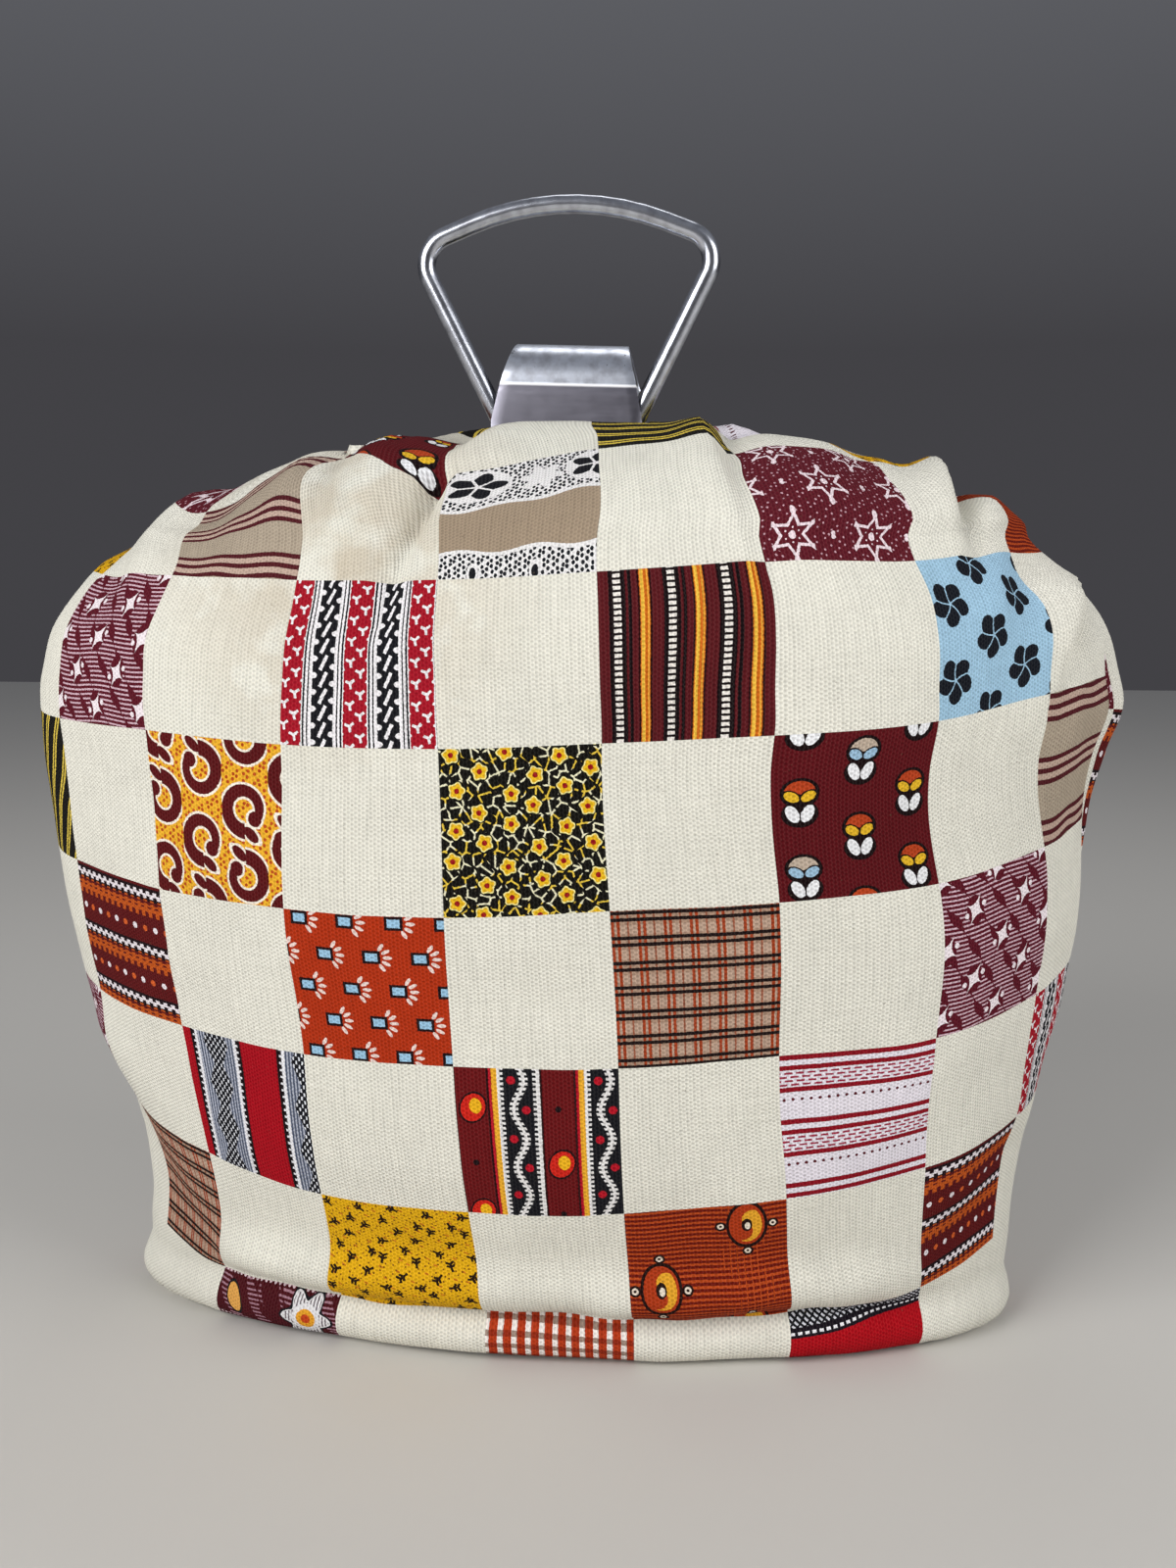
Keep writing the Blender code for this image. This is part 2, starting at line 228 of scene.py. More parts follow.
# %% Fold tables
FRONT_FOLDS = [
    # x0, z0, x1, z1, width_left, width_right, rise, in millimetres
    (-50, 268, -46, 240, 8.0, 4.0, 2.6),  # ridge of the pleat left of the clip
    (-31, 280, -33, 264, 10.0, 7.0, -5.5),  # its valley, where it goes over the top
    (-32, 262, -42, 222, 4.2, 3.6, -8.5),  # and down in front
    (-64, 268, -67, 238, 5.0, 5.0, -2.6),
    (-75, 264, -80, 240, 6.0, 6.0, 2.0),
    (-94, 257, -98, 232, 6.0, 6.0, -1.8),
    (41, 275, 53, 242, 7.0, 2.6, 2.8),  # knife pleat right of the clip
    (48, 276, 60, 236, 2.6, 7.0, -3.6),
    (-112, 258, -122, 232, 6.0, 8.0, 2.6),  # left shoulder
    (-104, 262, -114, 236, 4.0, 6.0, -2.4),
    (-136, 246, -126, 210, 7.0, 9.0, -2.8),
    (101, 272, 102, 258, 5.0, 4.0, -2.0),
    (108, 266, 112, 243, 6.0, 2.8, 6.0),  # pinch on the right shoulder
    (114, 262, 117, 241, 2.8, 4.5, -6.5),
    (124, 254, 122, 243, 4.0, 6.0, 2.2),
    (86, 270, 92, 246, 6.0, 6.0, -1.8),
    (146, 226, 139, 205, 7.0, 2.4, 4.4),  # fold down the right side
    (150, 223, 142, 200, 2.4, 6.0, -4.4),
    (133, 236, 126, 214, 6.0, 6.0, -2.6),
    (122, 226, 118, 210, 6.0, 7.0, 1.4),
    (155, 205, 148, 120, 5.0, 8.0, -2.4),
    (-154, 200, -149, 120, 8.0, 8.0, 1.6),  # slack down the left side
    (-148, 78, -114, 28, 7.0, 9.0, -3.0),  # drag line to the left corner
    (-139, 92, -102, 40, 9.0, 9.0, 2.0),
    (136, 60, 118, 24, 9.0, 9.0, -2.2),
    (-98, 27, 18, 24, 7.0, 7.0, 2.4),  # cloth bagging over the hem
    (18, 24, 120, 27, 7.0, 7.0, 2.4),
]
# The back is not seen in the photo: a few plain folds of the same size.
BACK_FOLDS = [
    (-62, 277, -46, 238, 7.0, 6.0, 3.0),
    (-50, 275, -36, 236, 5.0, 6.0, -2.8),
    (50, 277, 64, 240, 6.0, 7.0, 3.0),
    (116, 260, 126, 232, 7.0, 7.0, -2.6),
    (-126, 256, -138, 226, 7.0, 7.0, -2.4),
    (138, 70, 114, 28, 8.0, 8.0, -2.2),
    (-102, 27, 98, 26, 7.0, 7.0, 2.0),
]
print("folds:", len(FRONT_FOLDS), "in front,", len(BACK_FOLDS), "behind")

# %% [markdown]
# ## How far the cloth rises
# A fold rises like a bell across its line, and it is highest at its first end and dies away
# towards its second. The hem is stitched 17 mm up. Its thread pulls a deep crease, the padding
# bags over it, and the hem below stands out round and tucks in at the table. Towards the lower
# corners the crease fades, because the cloth is pulled tight round them.

# %% Folds and hem
FOLD_END = 0.25  # share of a fold's rise that is left at its second end
HEM_LINE = 17.0  # height of the stitches that hold the hem, in millimetres as all below
CREASE_DEPTH, CREASE_WIDTH = 4.0, 2.8  # pulled in by the stitches
BAG_RISE, BAG_HEIGHT, BAG_WIDTH = 3.6, 12.0, 8.0  # cloth bagging above the stitches
ROLL_RISE, ROLL_HEIGHT, ROLL_WIDTH = 2.0, 8.0, 5.5  # the hem's own roundness
TUCK_DEPTH, TUCK_HEIGHT = 3.4, 4.0  # the lower edge turns in at the table
PUCKER, PUCKER_PITCH = 0.08, 23.0  # the thread pulls unevenly
CORNER_START, CORNER_FADE, CORNER_LOSS = 84.0, 36.0, 0.85  # where the crease fades


def smooth_step(t):
    """0 below 0, 1 above 1, and a soft step between them."""
    t = min(1.0, max(0.0, t))
    return t * t * (3.0 - 2.0 * t)


def bell(gap, width):
    """1 in the middle of a rise, and almost nothing two widths away."""
    return math.exp(-((gap / width) ** 2))


def fold_rise(x, z, folds):
    total = 0.0
    for x0, z0, x1, z1, width_left, width_right, rise in folds:
        along = Vector((x1 - x0, z1 - z0))
        away = Vector((x - x0, z - z0))
        t = min(1.0, max(0.0, away.dot(along) / along.length_squared))
        gap = away - t * along
        on_left = gap.x * along.y - gap.y * along.x > 0
        width = width_left if on_left else width_right
        share = 1.0 - (1.0 - FOLD_END) * smooth_step(t)
        total += rise * share * bell(gap.length, width)
    return total


def hem_rise(x, z):
    """The stitched crease above the hem, the bagging over it, and the hem's rounded foot."""
    line = HEM_LINE - 1.2 * math.cos(x / 60.0) + 0.5 * math.sin(x / 9.0)  # sewn by hand: it wanders
    pucker = 1.0 + PUCKER * math.sin(x * 2.0 * math.pi / PUCKER_PITCH)
    near_middle = 1.0 - CORNER_LOSS * smooth_step((abs(x) - CORNER_START) / CORNER_FADE)
    crease = -CREASE_DEPTH * bell(z - line, CREASE_WIDTH) * pucker * near_middle
    bag = BAG_RISE * bell(z - line - BAG_HEIGHT, BAG_WIDTH) * near_middle
    roll = ROLL_RISE * bell(z - ROLL_HEIGHT, ROLL_WIDTH)
    tuck = -TUCK_DEPTH * smooth_step((TUCK_HEIGHT - z) / TUCK_HEIGHT)
    return crease + bag + roll + tuck


print("crease at the middle:", round(hem_rise(0.0, HEM_LINE - 1.2), 2), "mm")

# %% [markdown]
# ## A place on the cloth
# The point on the smooth dome is pushed outwards by the folds, the hem and the wadding's lumps.
# Along both sides the two halves are sewn together, so the cloth sinks towards that seam and
# the folds fade out before it. Only at the top do they run on over the seam, the same for both
# halves, so that no gap opens there. On the right the seam is pulled to the front and the back
# half swells beyond it.

# %% Cloth point
SEAM_SINK, SEAM_WIDTH = 2.6, 5.0  # how far, and how near to the seam, the cloth sinks
SINK_TOP, SINK_FADE = 262.0, 30.0  # the sinking fades out below this height
FREE_FROM_SEAM = 12.0  # this far from the seam folds have their full rise
OVER_TOP, OVER_TOP_FADE = 250.0, 15.0  # above this height they run on over the seam
PULLED = math.radians(12)  # how far round the right seam is pulled to the front
PULL_HEIGHT, PULL_WIDTH = 192.0, 42.0
BACK_SWELL = 1.6  # how far the back half stands out beyond the right seam
SWELL_HEIGHT, SWELL_WIDTH = 198.0, 26.0
LUMP_SIZE, LUMP_RISE = 34.0, 0.9  # the wadding lies unevenly: its lumps' distance and height
FINER, FINER_RISE = 2.7, 0.35  # lumps between them, so many times finer, and their height


def seam_pull(angle, height):
    """The angle with the right seam pulled to the front, about the middle of its height."""
    near = smooth_step((math.sin(angle) - 0.35) / 0.6)
    return angle - PULLED * bell(height - PULL_HEIGHT, PULL_WIDTH) * near


def dome_point(angle, height):
    """The smooth dome, without folds."""
    side = 2 if math.sin(angle) > 0 else 1
    half_width, half_depth = read_table(SECTIONS, height, (side, 3))
    return Vector((half_width * math.sin(angle), -half_depth * math.cos(angle), height))


def cloth_point(angle, height):
    """Millimetres from the base's middle to the cloth. The angle runs round from the front."""
    back = math.cos(angle) < 0
    round_angle = seam_pull(angle, height)
    point = dome_point(round_angle, height)
    across = dome_point(round_angle + 0.002, height) - dome_point(round_angle - 0.002, height)
    low, high = max(height - 1.0, SECTIONS[0][0]), min(height + 1.0, SECTIONS[-1][0])
    up = dome_point(round_angle, high) - dome_point(round_angle, low)
    outwards = across.cross(up).normalized()
    folds = BACK_FOLDS if back else FRONT_FOLDS
    seam_distance = abs(math.cos(angle)) * 0.5 * (abs(point.x) + 20.0)  # roughly, along the cloth
    free = smooth_step(seam_distance / FREE_FROM_SEAM)
    over_top = (1.0 - free) * smooth_step((height - OVER_TOP) / OVER_TOP_FADE)
    rise = fold_rise(point.x, point.z, folds) * free
    rise += fold_rise(point.x, point.z, FRONT_FOLDS) * over_top
    rise += hem_rise(point.x, point.z)
    sunk = bell(seam_distance, SEAM_WIDTH) * smooth_step((SINK_TOP - height) / SINK_FADE)
    rise -= SEAM_SINK * sunk
    if back and point.x > 0:
        swell = bell(height - SWELL_HEIGHT, SWELL_WIDTH) * bell(seam_distance - 14.0, 10.0)
        rise += BACK_SWELL * swell
    place = point / LUMP_SIZE
    rise += LUMP_RISE * noise.noise(place) + FINER_RISE * noise.noise(place * FINER)
    return point + outwards * rise


print("front middle of the cloth:", [round(v, 1) for v in cloth_point(0.0, 146.0)])

# %% [markdown]
# ## Colours and nodes
# Paint charts and screens give colours as sRGB hex values, while the shaders count in linear
# light, so one function turns the first into the second. One more sets a node's inputs, each
# from a value, a hex colour or another node's socket, and the last adds a node with them.

# %% Helpers for materials
CREAM = "#EAE7DA"
INK = "#16161C"
WHITE = "#F1ECEE"


def linear(hex_colour):
    """An sRGB hex colour as linear red, green, blue and a full alpha."""
    parts = [int(hex_colour[k : k + 2], 16) / 255 for k in (1, 3, 5)]
    return [c / 12.92 if c < 0.04045 else ((c + 0.055) / 1.055) ** 2.4 for c in parts] + [1.0]


def set_inputs(node, inputs):
    """Inputs by name or number. A Number, which is made below, stands for its socket."""
    for key, value in inputs.items():
        value = getattr(value, "socket", value)
        if isinstance(value, bpy.types.NodeSocket):
            node.id_data.links.new(value, node.inputs[key])
        else:
            node.inputs[key].default_value = linear(value) if isinstance(value, str) else value


def add(tree, kind, settings, inputs):
    """A new node: its settings by name, and its inputs."""
    node = tree.nodes.new(kind)
    for name, value in settings.items():
        setattr(node, name, value)
    set_inputs(node, inputs)
    return node


print("cream in linear light:", [round(c, 3) for c in linear(CREAM)])

# %% [markdown]
# ## Drawing with formulas
# Every print is drawn by formulas of two numbers: how far right and how far up a place is in
# its 45 mm square, in millimetres. Writing those as chains of Math nodes is hard to read. The
# small class below stands for a number in a material and builds the node whenever it is added,
# multiplied or compared. A comparison gives 1 inside a shape and 0 outside it, which makes a
# mask for one ink. The lesser of two masks, written &, is where both are, and the greater,
# written |, is where either is. ~ turns a mask round.

# %% Numbers in a material


class Number:
    def __init__(self, socket):
        self.socket = socket

    def made(self, operation, *others):
        tree, inputs = self.socket.id_data, dict(enumerate([self, *others]))
        return Number(add(tree, "ShaderNodeMath", {"operation": operation}, inputs).outputs[0])

    def __invert__(self):
        return self * -1.0 + 1.0


MATH_NODES = {
    "__add__": "ADD", "__sub__": "SUBTRACT", "__mul__": "MULTIPLY", "__truediv__": "DIVIDE",
    "__mod__": "FLOORED_MODULO", "__pow__": "POWER", "__abs__": "ABSOLUTE",
    "__lt__": "LESS_THAN", "__gt__": "GREATER_THAN", "__and__": "MINIMUM", "__or__": "MAXIMUM",
    "floor": "FLOOR", "sine": "SINE", "cosine": "COSINE", "root": "SQRT", "turn_to": "ARCTAN2",
}
for sign, math_operation in MATH_NODES.items():
    setattr(Number, sign, functools.partialmethod(Number.made, math_operation))
print("a formula becomes Math nodes of", len(MATH_NODES), "kinds")

# %% [markdown]
# ## Forms that prints share
# Most prints are made of the same few things: evenly spaced lines, motifs that repeat with a
# step, small turns, and distances from a middle. A helper for each keeps the prints short.

# %% Forms for prints


def distance(x, y, middle_x=0.0, middle_y=0.0):
    across, up = x - middle_x, y - middle_y
    return (across * across + up * up).root()


def turn_of(x, y):
    """The direction of a place from the middle, in radians."""
    return y.turn_to(x)


def spun(x, y, cosine, sine):
    """The place in axes that are turned by an angle with this cosine and sine."""
    return x * cosine + y * sine, y * cosine - x * sine


def turned(x, y, degrees):
    return spun(x, y, math.cos(math.radians(degrees)), math.sin(math.radians(degrees)))


def between(value, low, high):
    return (value > low) & (value < high)


def from_line(value, first, pitch):
    """How far a value is past the nearest of evenly spaced lines, with its sign."""
    return (value - (first - pitch / 2)) % pitch - pitch / 2


def ruled(value, first, pitch, half_width):
    """Evenly spaced lines."""
    return abs(from_line(value, first, pitch)) < half_width


def repeat(x, y, width, height):
    """Places from the middle of each repeat. Every next column lies half a repeat lower."""
    dropped = y + (x / width).floor() * (height * 0.5)
    return (x % width) - width / 2, (dropped % height) - height / 2


def repeat_number(x, y, width, height):
    """The column and the row of the repeat that a place is in."""
    column = (x / width).floor()
    return column, ((y + column * (height * 0.5)) / height).floor()


def scattered(x, y, width, height, stray):
    """A repeat whose places stray a little, as in a print drawn by hand, and a turn for each."""
    near_x, near_y = repeat(x, y, width, height)
    column, row = repeat_number(x, y, width, height)
    wander = column * 2.4 + row * 1.7
    return near_x + wander.sine() * stray, near_y + (wander * 1.6).cosine() * stray, wander


def scattered_dots(x, y, width, height, stray, radius):
    near_x, near_y, _ = scattered(x, y, width, height, stray)
    return distance(near_x, near_y) < radius


def flower(x, y, petals, size, depth=0.25, twist=0.0):
    """The inside of a round flower whose edge waves once for each petal."""
    radius = distance(x, y)
    direction = turn_of(x, y) * float(petals) + radius * twist
    return radius < (direction.cosine() * depth + (1.0 - depth)) * size


def arms(x, y, count, length, half_width, first_degrees):
    """A star of straight arms that meet in the middle."""
    folded = from_line(turn_of(x, y), math.radians(first_degrees), 2 * math.pi / count)
    radius = distance(x, y)
    return (radius < length) & (abs(folded.sine()) * radius < half_width)


def crackle(x, y, size, half_width):
    """The lines between uneven cells, like a net of twigs."""
    tree = x.socket.id_data
    place = add(tree, "ShaderNodeCombineXYZ", {}, {0: x / size, 1: y / size})
    settings = {"voronoi_dimensions": "2D", "feature": "DISTANCE_TO_EDGE"}
    cells = add(tree, "ShaderNodeTexVoronoi", settings, {"Vector": place.outputs[0], "Scale": 1.0})
    return Number(cells.outputs["Distance"]) < half_width / size


print("helpers for prints are ready")

# %% [markdown]
# ## Printed stripes and checks
# Each function below draws one repeat of the kinds that cotton printers have long used. A
# picture of the cloth would blur up close, so every print is worked out from the place instead.
# A function gives the ground's colour and then the inks in the order in which they are laid,
# each with its mask. Sizes are millimetres on the cloth. Small sines bend some of the lines,
# because a print that was cut by hand is never quite straight.

# %% Stripes and checks


def triple_stripes(x, y):
    step = from_line(y + (x * 0.3).sine() * 0.4, 4.0, 18.5)
    stripes = ruled(step, 0.0, 3.3, 0.75) & (abs(step) < 4.3)
    return "#AFA08D", [(abs(step) < 3.6, "#C2A898"), (stripes, "#521820")]


def plaid(x, y):
    dark = abs(abs(from_line(y, 1.3, 7.0)) - 0.95) < 0.5
    warm = abs(abs(from_line(x, 1.2, 7.1)) - 0.75) < 0.42
    faint = ruled(x, 4.6, 7.1, 0.25)
    light = ruled(y, 4.6, 7.0, 1.3)
    return "#AC8D78", [(light, "#BC9F8B"), (faint, "#9A5A42"), (warm, "#A2401F"), (dark, "#1D1010")]


def gingham(x, y):
    stripe = ruled(x, 2.2, 4.2, 1.25)
    rows = ruled(y, 0.9, 3.7, 1.05)
    return "#A08A7D", [(rows, "#F7EEE8"), (stripe, "#93290F"), (stripe & rows, "#B83C18")]


def yellow_stripes(x, y, pitch=8.4):
    bend = y + (x * 0.35).sine() * 0.3
    dark = ruled(bend, 0.0, pitch, pitch * 0.32) | ruled(bend, pitch / 2, pitch, pitch * 0.05)
    return "#E2C650", [(dark, "#141210")]


def steep_stripes(x, y):
    return yellow_stripes(*turned(x, y, 70), pitch=5.6)


def orange_lines(x, y):
    lines = ruled(y + (x * 0.25).sine() * 0.3, 0.8, 1.65, 0.45)
    broken = ((x * 0.14 + (y * 0.3).sine() * 0.4).sine() < -0.7) & (x % 1.9 < 0.25)
    return "#B9491A", [(lines & ~broken, "#6E1507")]


print("stripes and checks are ready")

# %% [markdown]
# ## Printed bands
# A band is a stripe with a small motif along it. Both are measured from the band's middle line,
# so one formula serves every band of the same kind.

# %% Bands


def ladder_stripes(x, y):
    dark = abs(from_line(x, 5.0, 14.3))
    rungs = (dark < 1.0) & (y % 1.6 < 0.95)
    thin = ruled(x, 8.3, 14.3, 0.45)
    cord = from_line(x, 12.2, 14.3)
    layers = [((dark < 2.2) | thin, "#16090D"), (rungs, "#F1EAE2"), (abs(cord) < 1.8, "#26090C")]
    layers += [(abs(cord) < 1.3, "#CF6A18"), (abs(cord + 0.6) < 0.45, "#F0BD44")]
    return "#5A161C", layers + [(abs(cord - 0.85) < 0.22, "#E8A53A")]


def chain_bands(x, y):
    side = from_line(x, 21.8, 19.3)
    red = abs(side) < 3.5
    lines = (abs(abs(side) - 4.1) < 0.28) | (abs(abs(side) - 5.3) < 0.2)
    near_x, near_y = repeat(side, y, 3.0, 5.7)
    twigs = arms(near_x, near_y, 3, 1.55, 0.38, 38)
    link = from_line(x, 12.15, 19.3)
    step = from_line(y, 0.0, 4.5)
    slot_along, slot_across = turned(link, step, 64)
    slots = (abs(slot_across) < 0.5) & (abs(slot_along) < 2.2)
    notch_left = distance((link + 3.0) / 1.5, from_line(y, 1.1, 4.5)) < 0.8
    notch_right = distance((link - 3.0) / 1.5, from_line(y, 3.4, 4.5)) < 0.8
    chain = (abs(link) < 3.2) & ~(slots | notch_left | notch_right)
    layers = [(red, "#A61226"), (twigs & red, WHITE), (lines, INK)]
    return "#F4F0F2", layers + [(chain, INK)]


def hatched_bands(x, y):
    side = abs(from_line(x, 29.0, 32.5))
    teeth = between(side, 7.3, 8.3) & ruled(y, 0.0, 2.1, 0.7)
    hatch = (side > 9.4) & (x % 1.1 < 0.6)
    core = abs(from_line(x, 12.75, 32.5))
    diamonds = core < abs(from_line(y, 7.0, 14.0)) * 0.42 + 1.8
    near_x, near_y = repeat(x, y, 0.95, 2.4)
    specks = (abs(near_x) < 0.26) & (abs(near_y) < 0.55)
    layers = [(side > 9.4, "#B9BDCB"), (hatch, "#4A5367"), (diamonds, "#12131B")]
    layers += [(diamonds & specks, "#E4E6EC"), (between(side, 6.4, 7.5) | teeth, "#140A0E")]
    return "#EEEDF1", layers + [(side < 6.6, "#A90519")]


def oval_bands(x, y):
    column = ((x - 0.2) / 23.8).floor()
    place = (x - 0.2) % 23.8
    oval_x, oval_y = place - 4.6, from_line(y + column * 16.3, 33.4, 32.6)
    tilted_x, tilted_y = turned(oval_x, oval_y, -25)
    oval = distance(tilted_x / 3.3, tilted_y / 4.2)
    yolk = distance((oval_x - 0.7) / 1.7, (oval_y - 0.5) / 2.2)
    dot = distance(place - 4.2, from_line(y + column * 16.3, 17.1, 32.6))
    lace = place - 17.3
    stem = lace - ((y - 41.6) * (2 * math.pi / 17.2)).cosine() * 1.5
    teeth = ruled(y, 0.0, 1.45, 0.38)
    gaps = (abs(stem) < 0.42) | (teeth & ((abs(lace) > 4.0) | (abs(stem) < 1.2)))
    berry = distance(lace + 1.9, from_line(y, 41.6, 17.2))
    berry = berry & distance(lace - 1.9, from_line(y, 33.0, 17.2))
    layers = [((abs(lace) < 4.9) & ~gaps, INK), (berry < 1.9, INK), (berry < 1.2, "#B81226")]
    layers += [(between(place, 9.6, 11.6), "#F0B030"), (between(place, 9.3, 10.1), "#B81226")]
    layers += [((place < 9.3) | (place > 23.2), "#2A070A"), (place < 8.7, "#6A1014")]
    layers += [((oval < 1.15) | (dot < 0.9), "#1B0A0F"), (oval < 1.0, "#D32418"), (yolk < 1.0, "#F4B81E")]
    return "#EDEAE8", layers


def dash_rows(x, y):
    step = y % 20.0
    solid = (abs(step - 1.0) < 0.75) | (abs(step - 4.2) < 0.8) | (abs(step - 14.2) < 0.75)
    row = ((step - 15.4) / 1.2).floor()
    dashes = between(step, 15.4, 20.0) & ((step - 15.4) % 1.2 < 0.62) & ((x + row * 1.7) % 3.2 < 2.2)
    dots = distance(from_line(x, 1.2, 2.5), step - 11.1) < 0.48
    return "#EDE6EE", [(solid, "#8E0B1E"), (dashes, "#9E2A44"), (dots, "#5A1420")]


def zigzag_bands(x, y):
    tooth = (x % 3.2 < 1.6) - 0.5
    rope = from_line(y, 5.0, 18.5)
    toothed = from_line(y, 19.3, 18.5) + tooth * 1.6
    dots = distance(from_line(x, 2.4, 9.5), from_line(y, 12.2, 18.5))
    others = distance(from_line(x, 7.15, 9.5), from_line(y, 12.2, 18.5))
    layers = [(abs(rope) < 2.1, "#1C0B12"), (abs(rope - tooth * 0.9) < 0.72, "#EFE6EA")]
    layers += [(between(toothed, -2.2, 1.8), "#C0551A"), (abs(toothed - 0.9) < 0.3, "#5C1013")]
    return "#5C1013", layers + [(dots < 1.0, "#EFE6EA"), (others < 1.0, "#D5602A")]


def red_band(x, y):
    lacing = ruled(x * 0.8 + y, 0.0, 1.5, 0.4) | ruled(x * 0.8 - y, 0.0, 2.1, 0.35)
    lace = y > 41.6
    stitches = (x % 2.2 < 1.3) & (abs(y - 40.2) < 0.35)
    layers = [(y > 39.0, "#16101A"), (stitches, "#F0EEF2"), (lace, "#D7D8E0"), (lace & lacing, INK)]
    return "#AE0516", layers


print("bands are ready")

# %% [markdown]
# ## Hatching and stars
# Motifs with straight or pointed petals are drawn round their middle, by the distance from it
# and the direction. Folding the direction makes one arm or petal into all of them.

# %% Hatching and stars


def hatch_ground(x, y):
    """Thin level lines that break off along slanted gaps, as if cut by hand."""
    lines = ruled(y + (x * 0.2).sine() * 0.4, 0.6, 1.3, 0.25)
    patches = abs((x * 0.33 + y * 0.24).sine()) > (y * 0.62 - x * 0.1).sine() * 0.26 + 0.3
    return lines & patches


def sparkle_hatch(x, y):
    near_x, near_y = repeat(x + 4.4, y + 4.7, 10.6, 20.0)
    tilted_x, tilted_y = turned(near_x, near_y, 62)
    star = (abs(tilted_x) / 5.2) ** 0.52 + (abs(tilted_y) / 3.9) ** 0.52 < 1.0
    halo = distance(near_x / 3.2, near_y / 4.2) < 1.0
    dots = (distance(near_x, near_y, 3.3, 1.3) < 0.8) | (distance(near_x, near_y, -3.3, -1.3) < 0.8)
    layers = [(hatch_ground(x, y), "#D6B4C0"), (halo, "#5C1122"), (star | dots, "#F8ECF0")]
    return "#5C1122", layers


def daisy_hatch(x, y):
    near_x, near_y = repeat(x + 5.5, y + 5.5, 27.0, 43.0)
    radius = distance(near_x, near_y)
    veins = ruled(near_x, 0.0, 1.1, 0.22) & (radius > 4.6)
    bud_x, bud_y = turned(from_line(x, 8.0, 54.0), from_line(y, 38.0, 43.0), 30)
    bud = distance(bud_x / 2.6, bud_y / 4.6)
    bead = distance(from_line(x, 0.0, 1.7), from_line(y, 31.0, 14.0)) < 0.5
    sparse = (x * 0.5 + y * 0.3).sine() > 0.1
    layers = [(hatch_ground(x, y) & sparse, "#A67A88"), (bead, "#E4C9D0")]
    edge, petals = flower(near_x, near_y, 6, 9.0, 0.16), flower(near_x, near_y, 6, 8.2, 0.18)
    veined = veins & flower(near_x, near_y, 6, 7.6, 0.18)
    layers += [(edge, INK), (petals, "#E6E4E6"), (veined, "#6A5F66"), (radius < 3.1, "#E8A22A")]
    return "#4A0F18", layers + [(radius < 1.5, "#C8451A"), (bud < 1.2, INK), (bud < 1.0, "#E2A552")]


def stars_and_dots(x, y):
    near_x, near_y = repeat(x + 8.7, y - 7.0, 11.8, 34.0)
    radius = distance(near_x, near_y)
    folded = from_line(turn_of(near_x, near_y), math.pi / 2, math.pi / 3)
    along, across = folded.cosine() * radius, abs(folded.sine()) * radius
    outline = (abs((along - 6.0) * 0.42 + across * 0.91) < 0.4) & (radius < 6.4)
    spoons = distance(across / 0.75, (along - 6.9) / 1.4) < 1.0
    heart = distance(near_x, near_y * 0.8) < 0.95
    beads = distance(across, along - 2.1) < 0.26
    squares = distance(near_x, abs(near_y) - 16.5) < 0.65
    dots = scattered_dots(x, y, 2.1, 2.2, 0.45, 0.3) & (radius > 6.0)
    layers = [(dots, "#C79CA6"), (outline | spoons | heart | beads | squares, "#F0DDE2")]
    return "#5E1623", layers


def pinwheels(x, y):
    near_x, near_y = repeat(x + 1.2, y + 0.55, 14.4, 21.7)
    radius = distance(near_x, near_y)
    turn = turn_of(near_x, near_y) * 2.5 + radius * 0.16
    petals = radius < (abs(turn.cosine()) * 0.34 + 0.66) * 6.6
    gaps = abs(turn.cosine()) * radius < 0.5
    return "#A3C8E0", [(petals & ~gaps & (radius > 0.5), "#141821")]


print("hatching and stars are ready")

# %% [markdown]
# ## Scrolls, pods and little flowers
# Rounded motifs are joined from ovals and curls. Where small ones are strewn over a ground, each
# strays and turns by its own amount, so that no rows show.

# %% Small repeats


def scrolls(x, y):
    dots = scattered_dots(x, y, 1.7, 1.9, 0.35, 0.5)
    near_x, near_y = repeat(x + 3.0, y + 2.0, 14.6, 19.0)
    column, row = repeat_number(x + 3.0, y + 2.0, 14.6, 19.0)
    flip = ((column + row) % 2.0) * 2.0 - 1.0
    curl_x, curl_y = near_y * flip / 1.25, near_x * flip / -1.25
    radius = distance(curl_x, curl_y)
    turn = turn_of(curl_x, curl_y) % (2 * math.pi)
    hook = abs(radius - 3.4 - turn * 0.22) - 0.9 - turn * 0.13 + (turn < 0.9) * 9.0
    ball = distance(curl_x, curl_y, 1.9, 2.6) - 1.7
    tail_along, tail_across = turned(curl_x - 5.4, curl_y - 1.6, 50)
    tail = distance(tail_along / 1.9, tail_across) - 1.2
    curl = hook & ball & tail
    return "#EFB22E", [(dots, "#BC4A1A"), (curl < 0.55, "#FAEFDF"), (curl < 0.0, "#5A1014")]


def little_flowers(x, y):
    near_x, near_y, wander = scattered(x, y, 7.6, 9.6, 0.9)
    spun_x, spun_y = spun(near_x, near_y, wander.cosine(), wander.sine())
    radius = distance(near_x, near_y)
    pale = crackle(x, y, 3.0, 0.24) & ((x * 1.3 + (y * 0.9).sine() * 2.0).sine() > -0.75)
    warm = pale & ((y * 0.8 + (x * 0.7).sine()).sine() > 0.25)
    layers = [(pale, "#EBE6C4"), (warm, "#E6C445"), (radius < 2.8, "#100E0A")]
    layers += [(flower(spun_x, spun_y, 5, 2.5, 0.11), "#F4E79A")]
    layers += [(flower(spun_x, spun_y, 5, 2.1, 0.13), "#ECBB20"), (radius < 0.75, "#9A1418")]
    return "#100E0A", layers


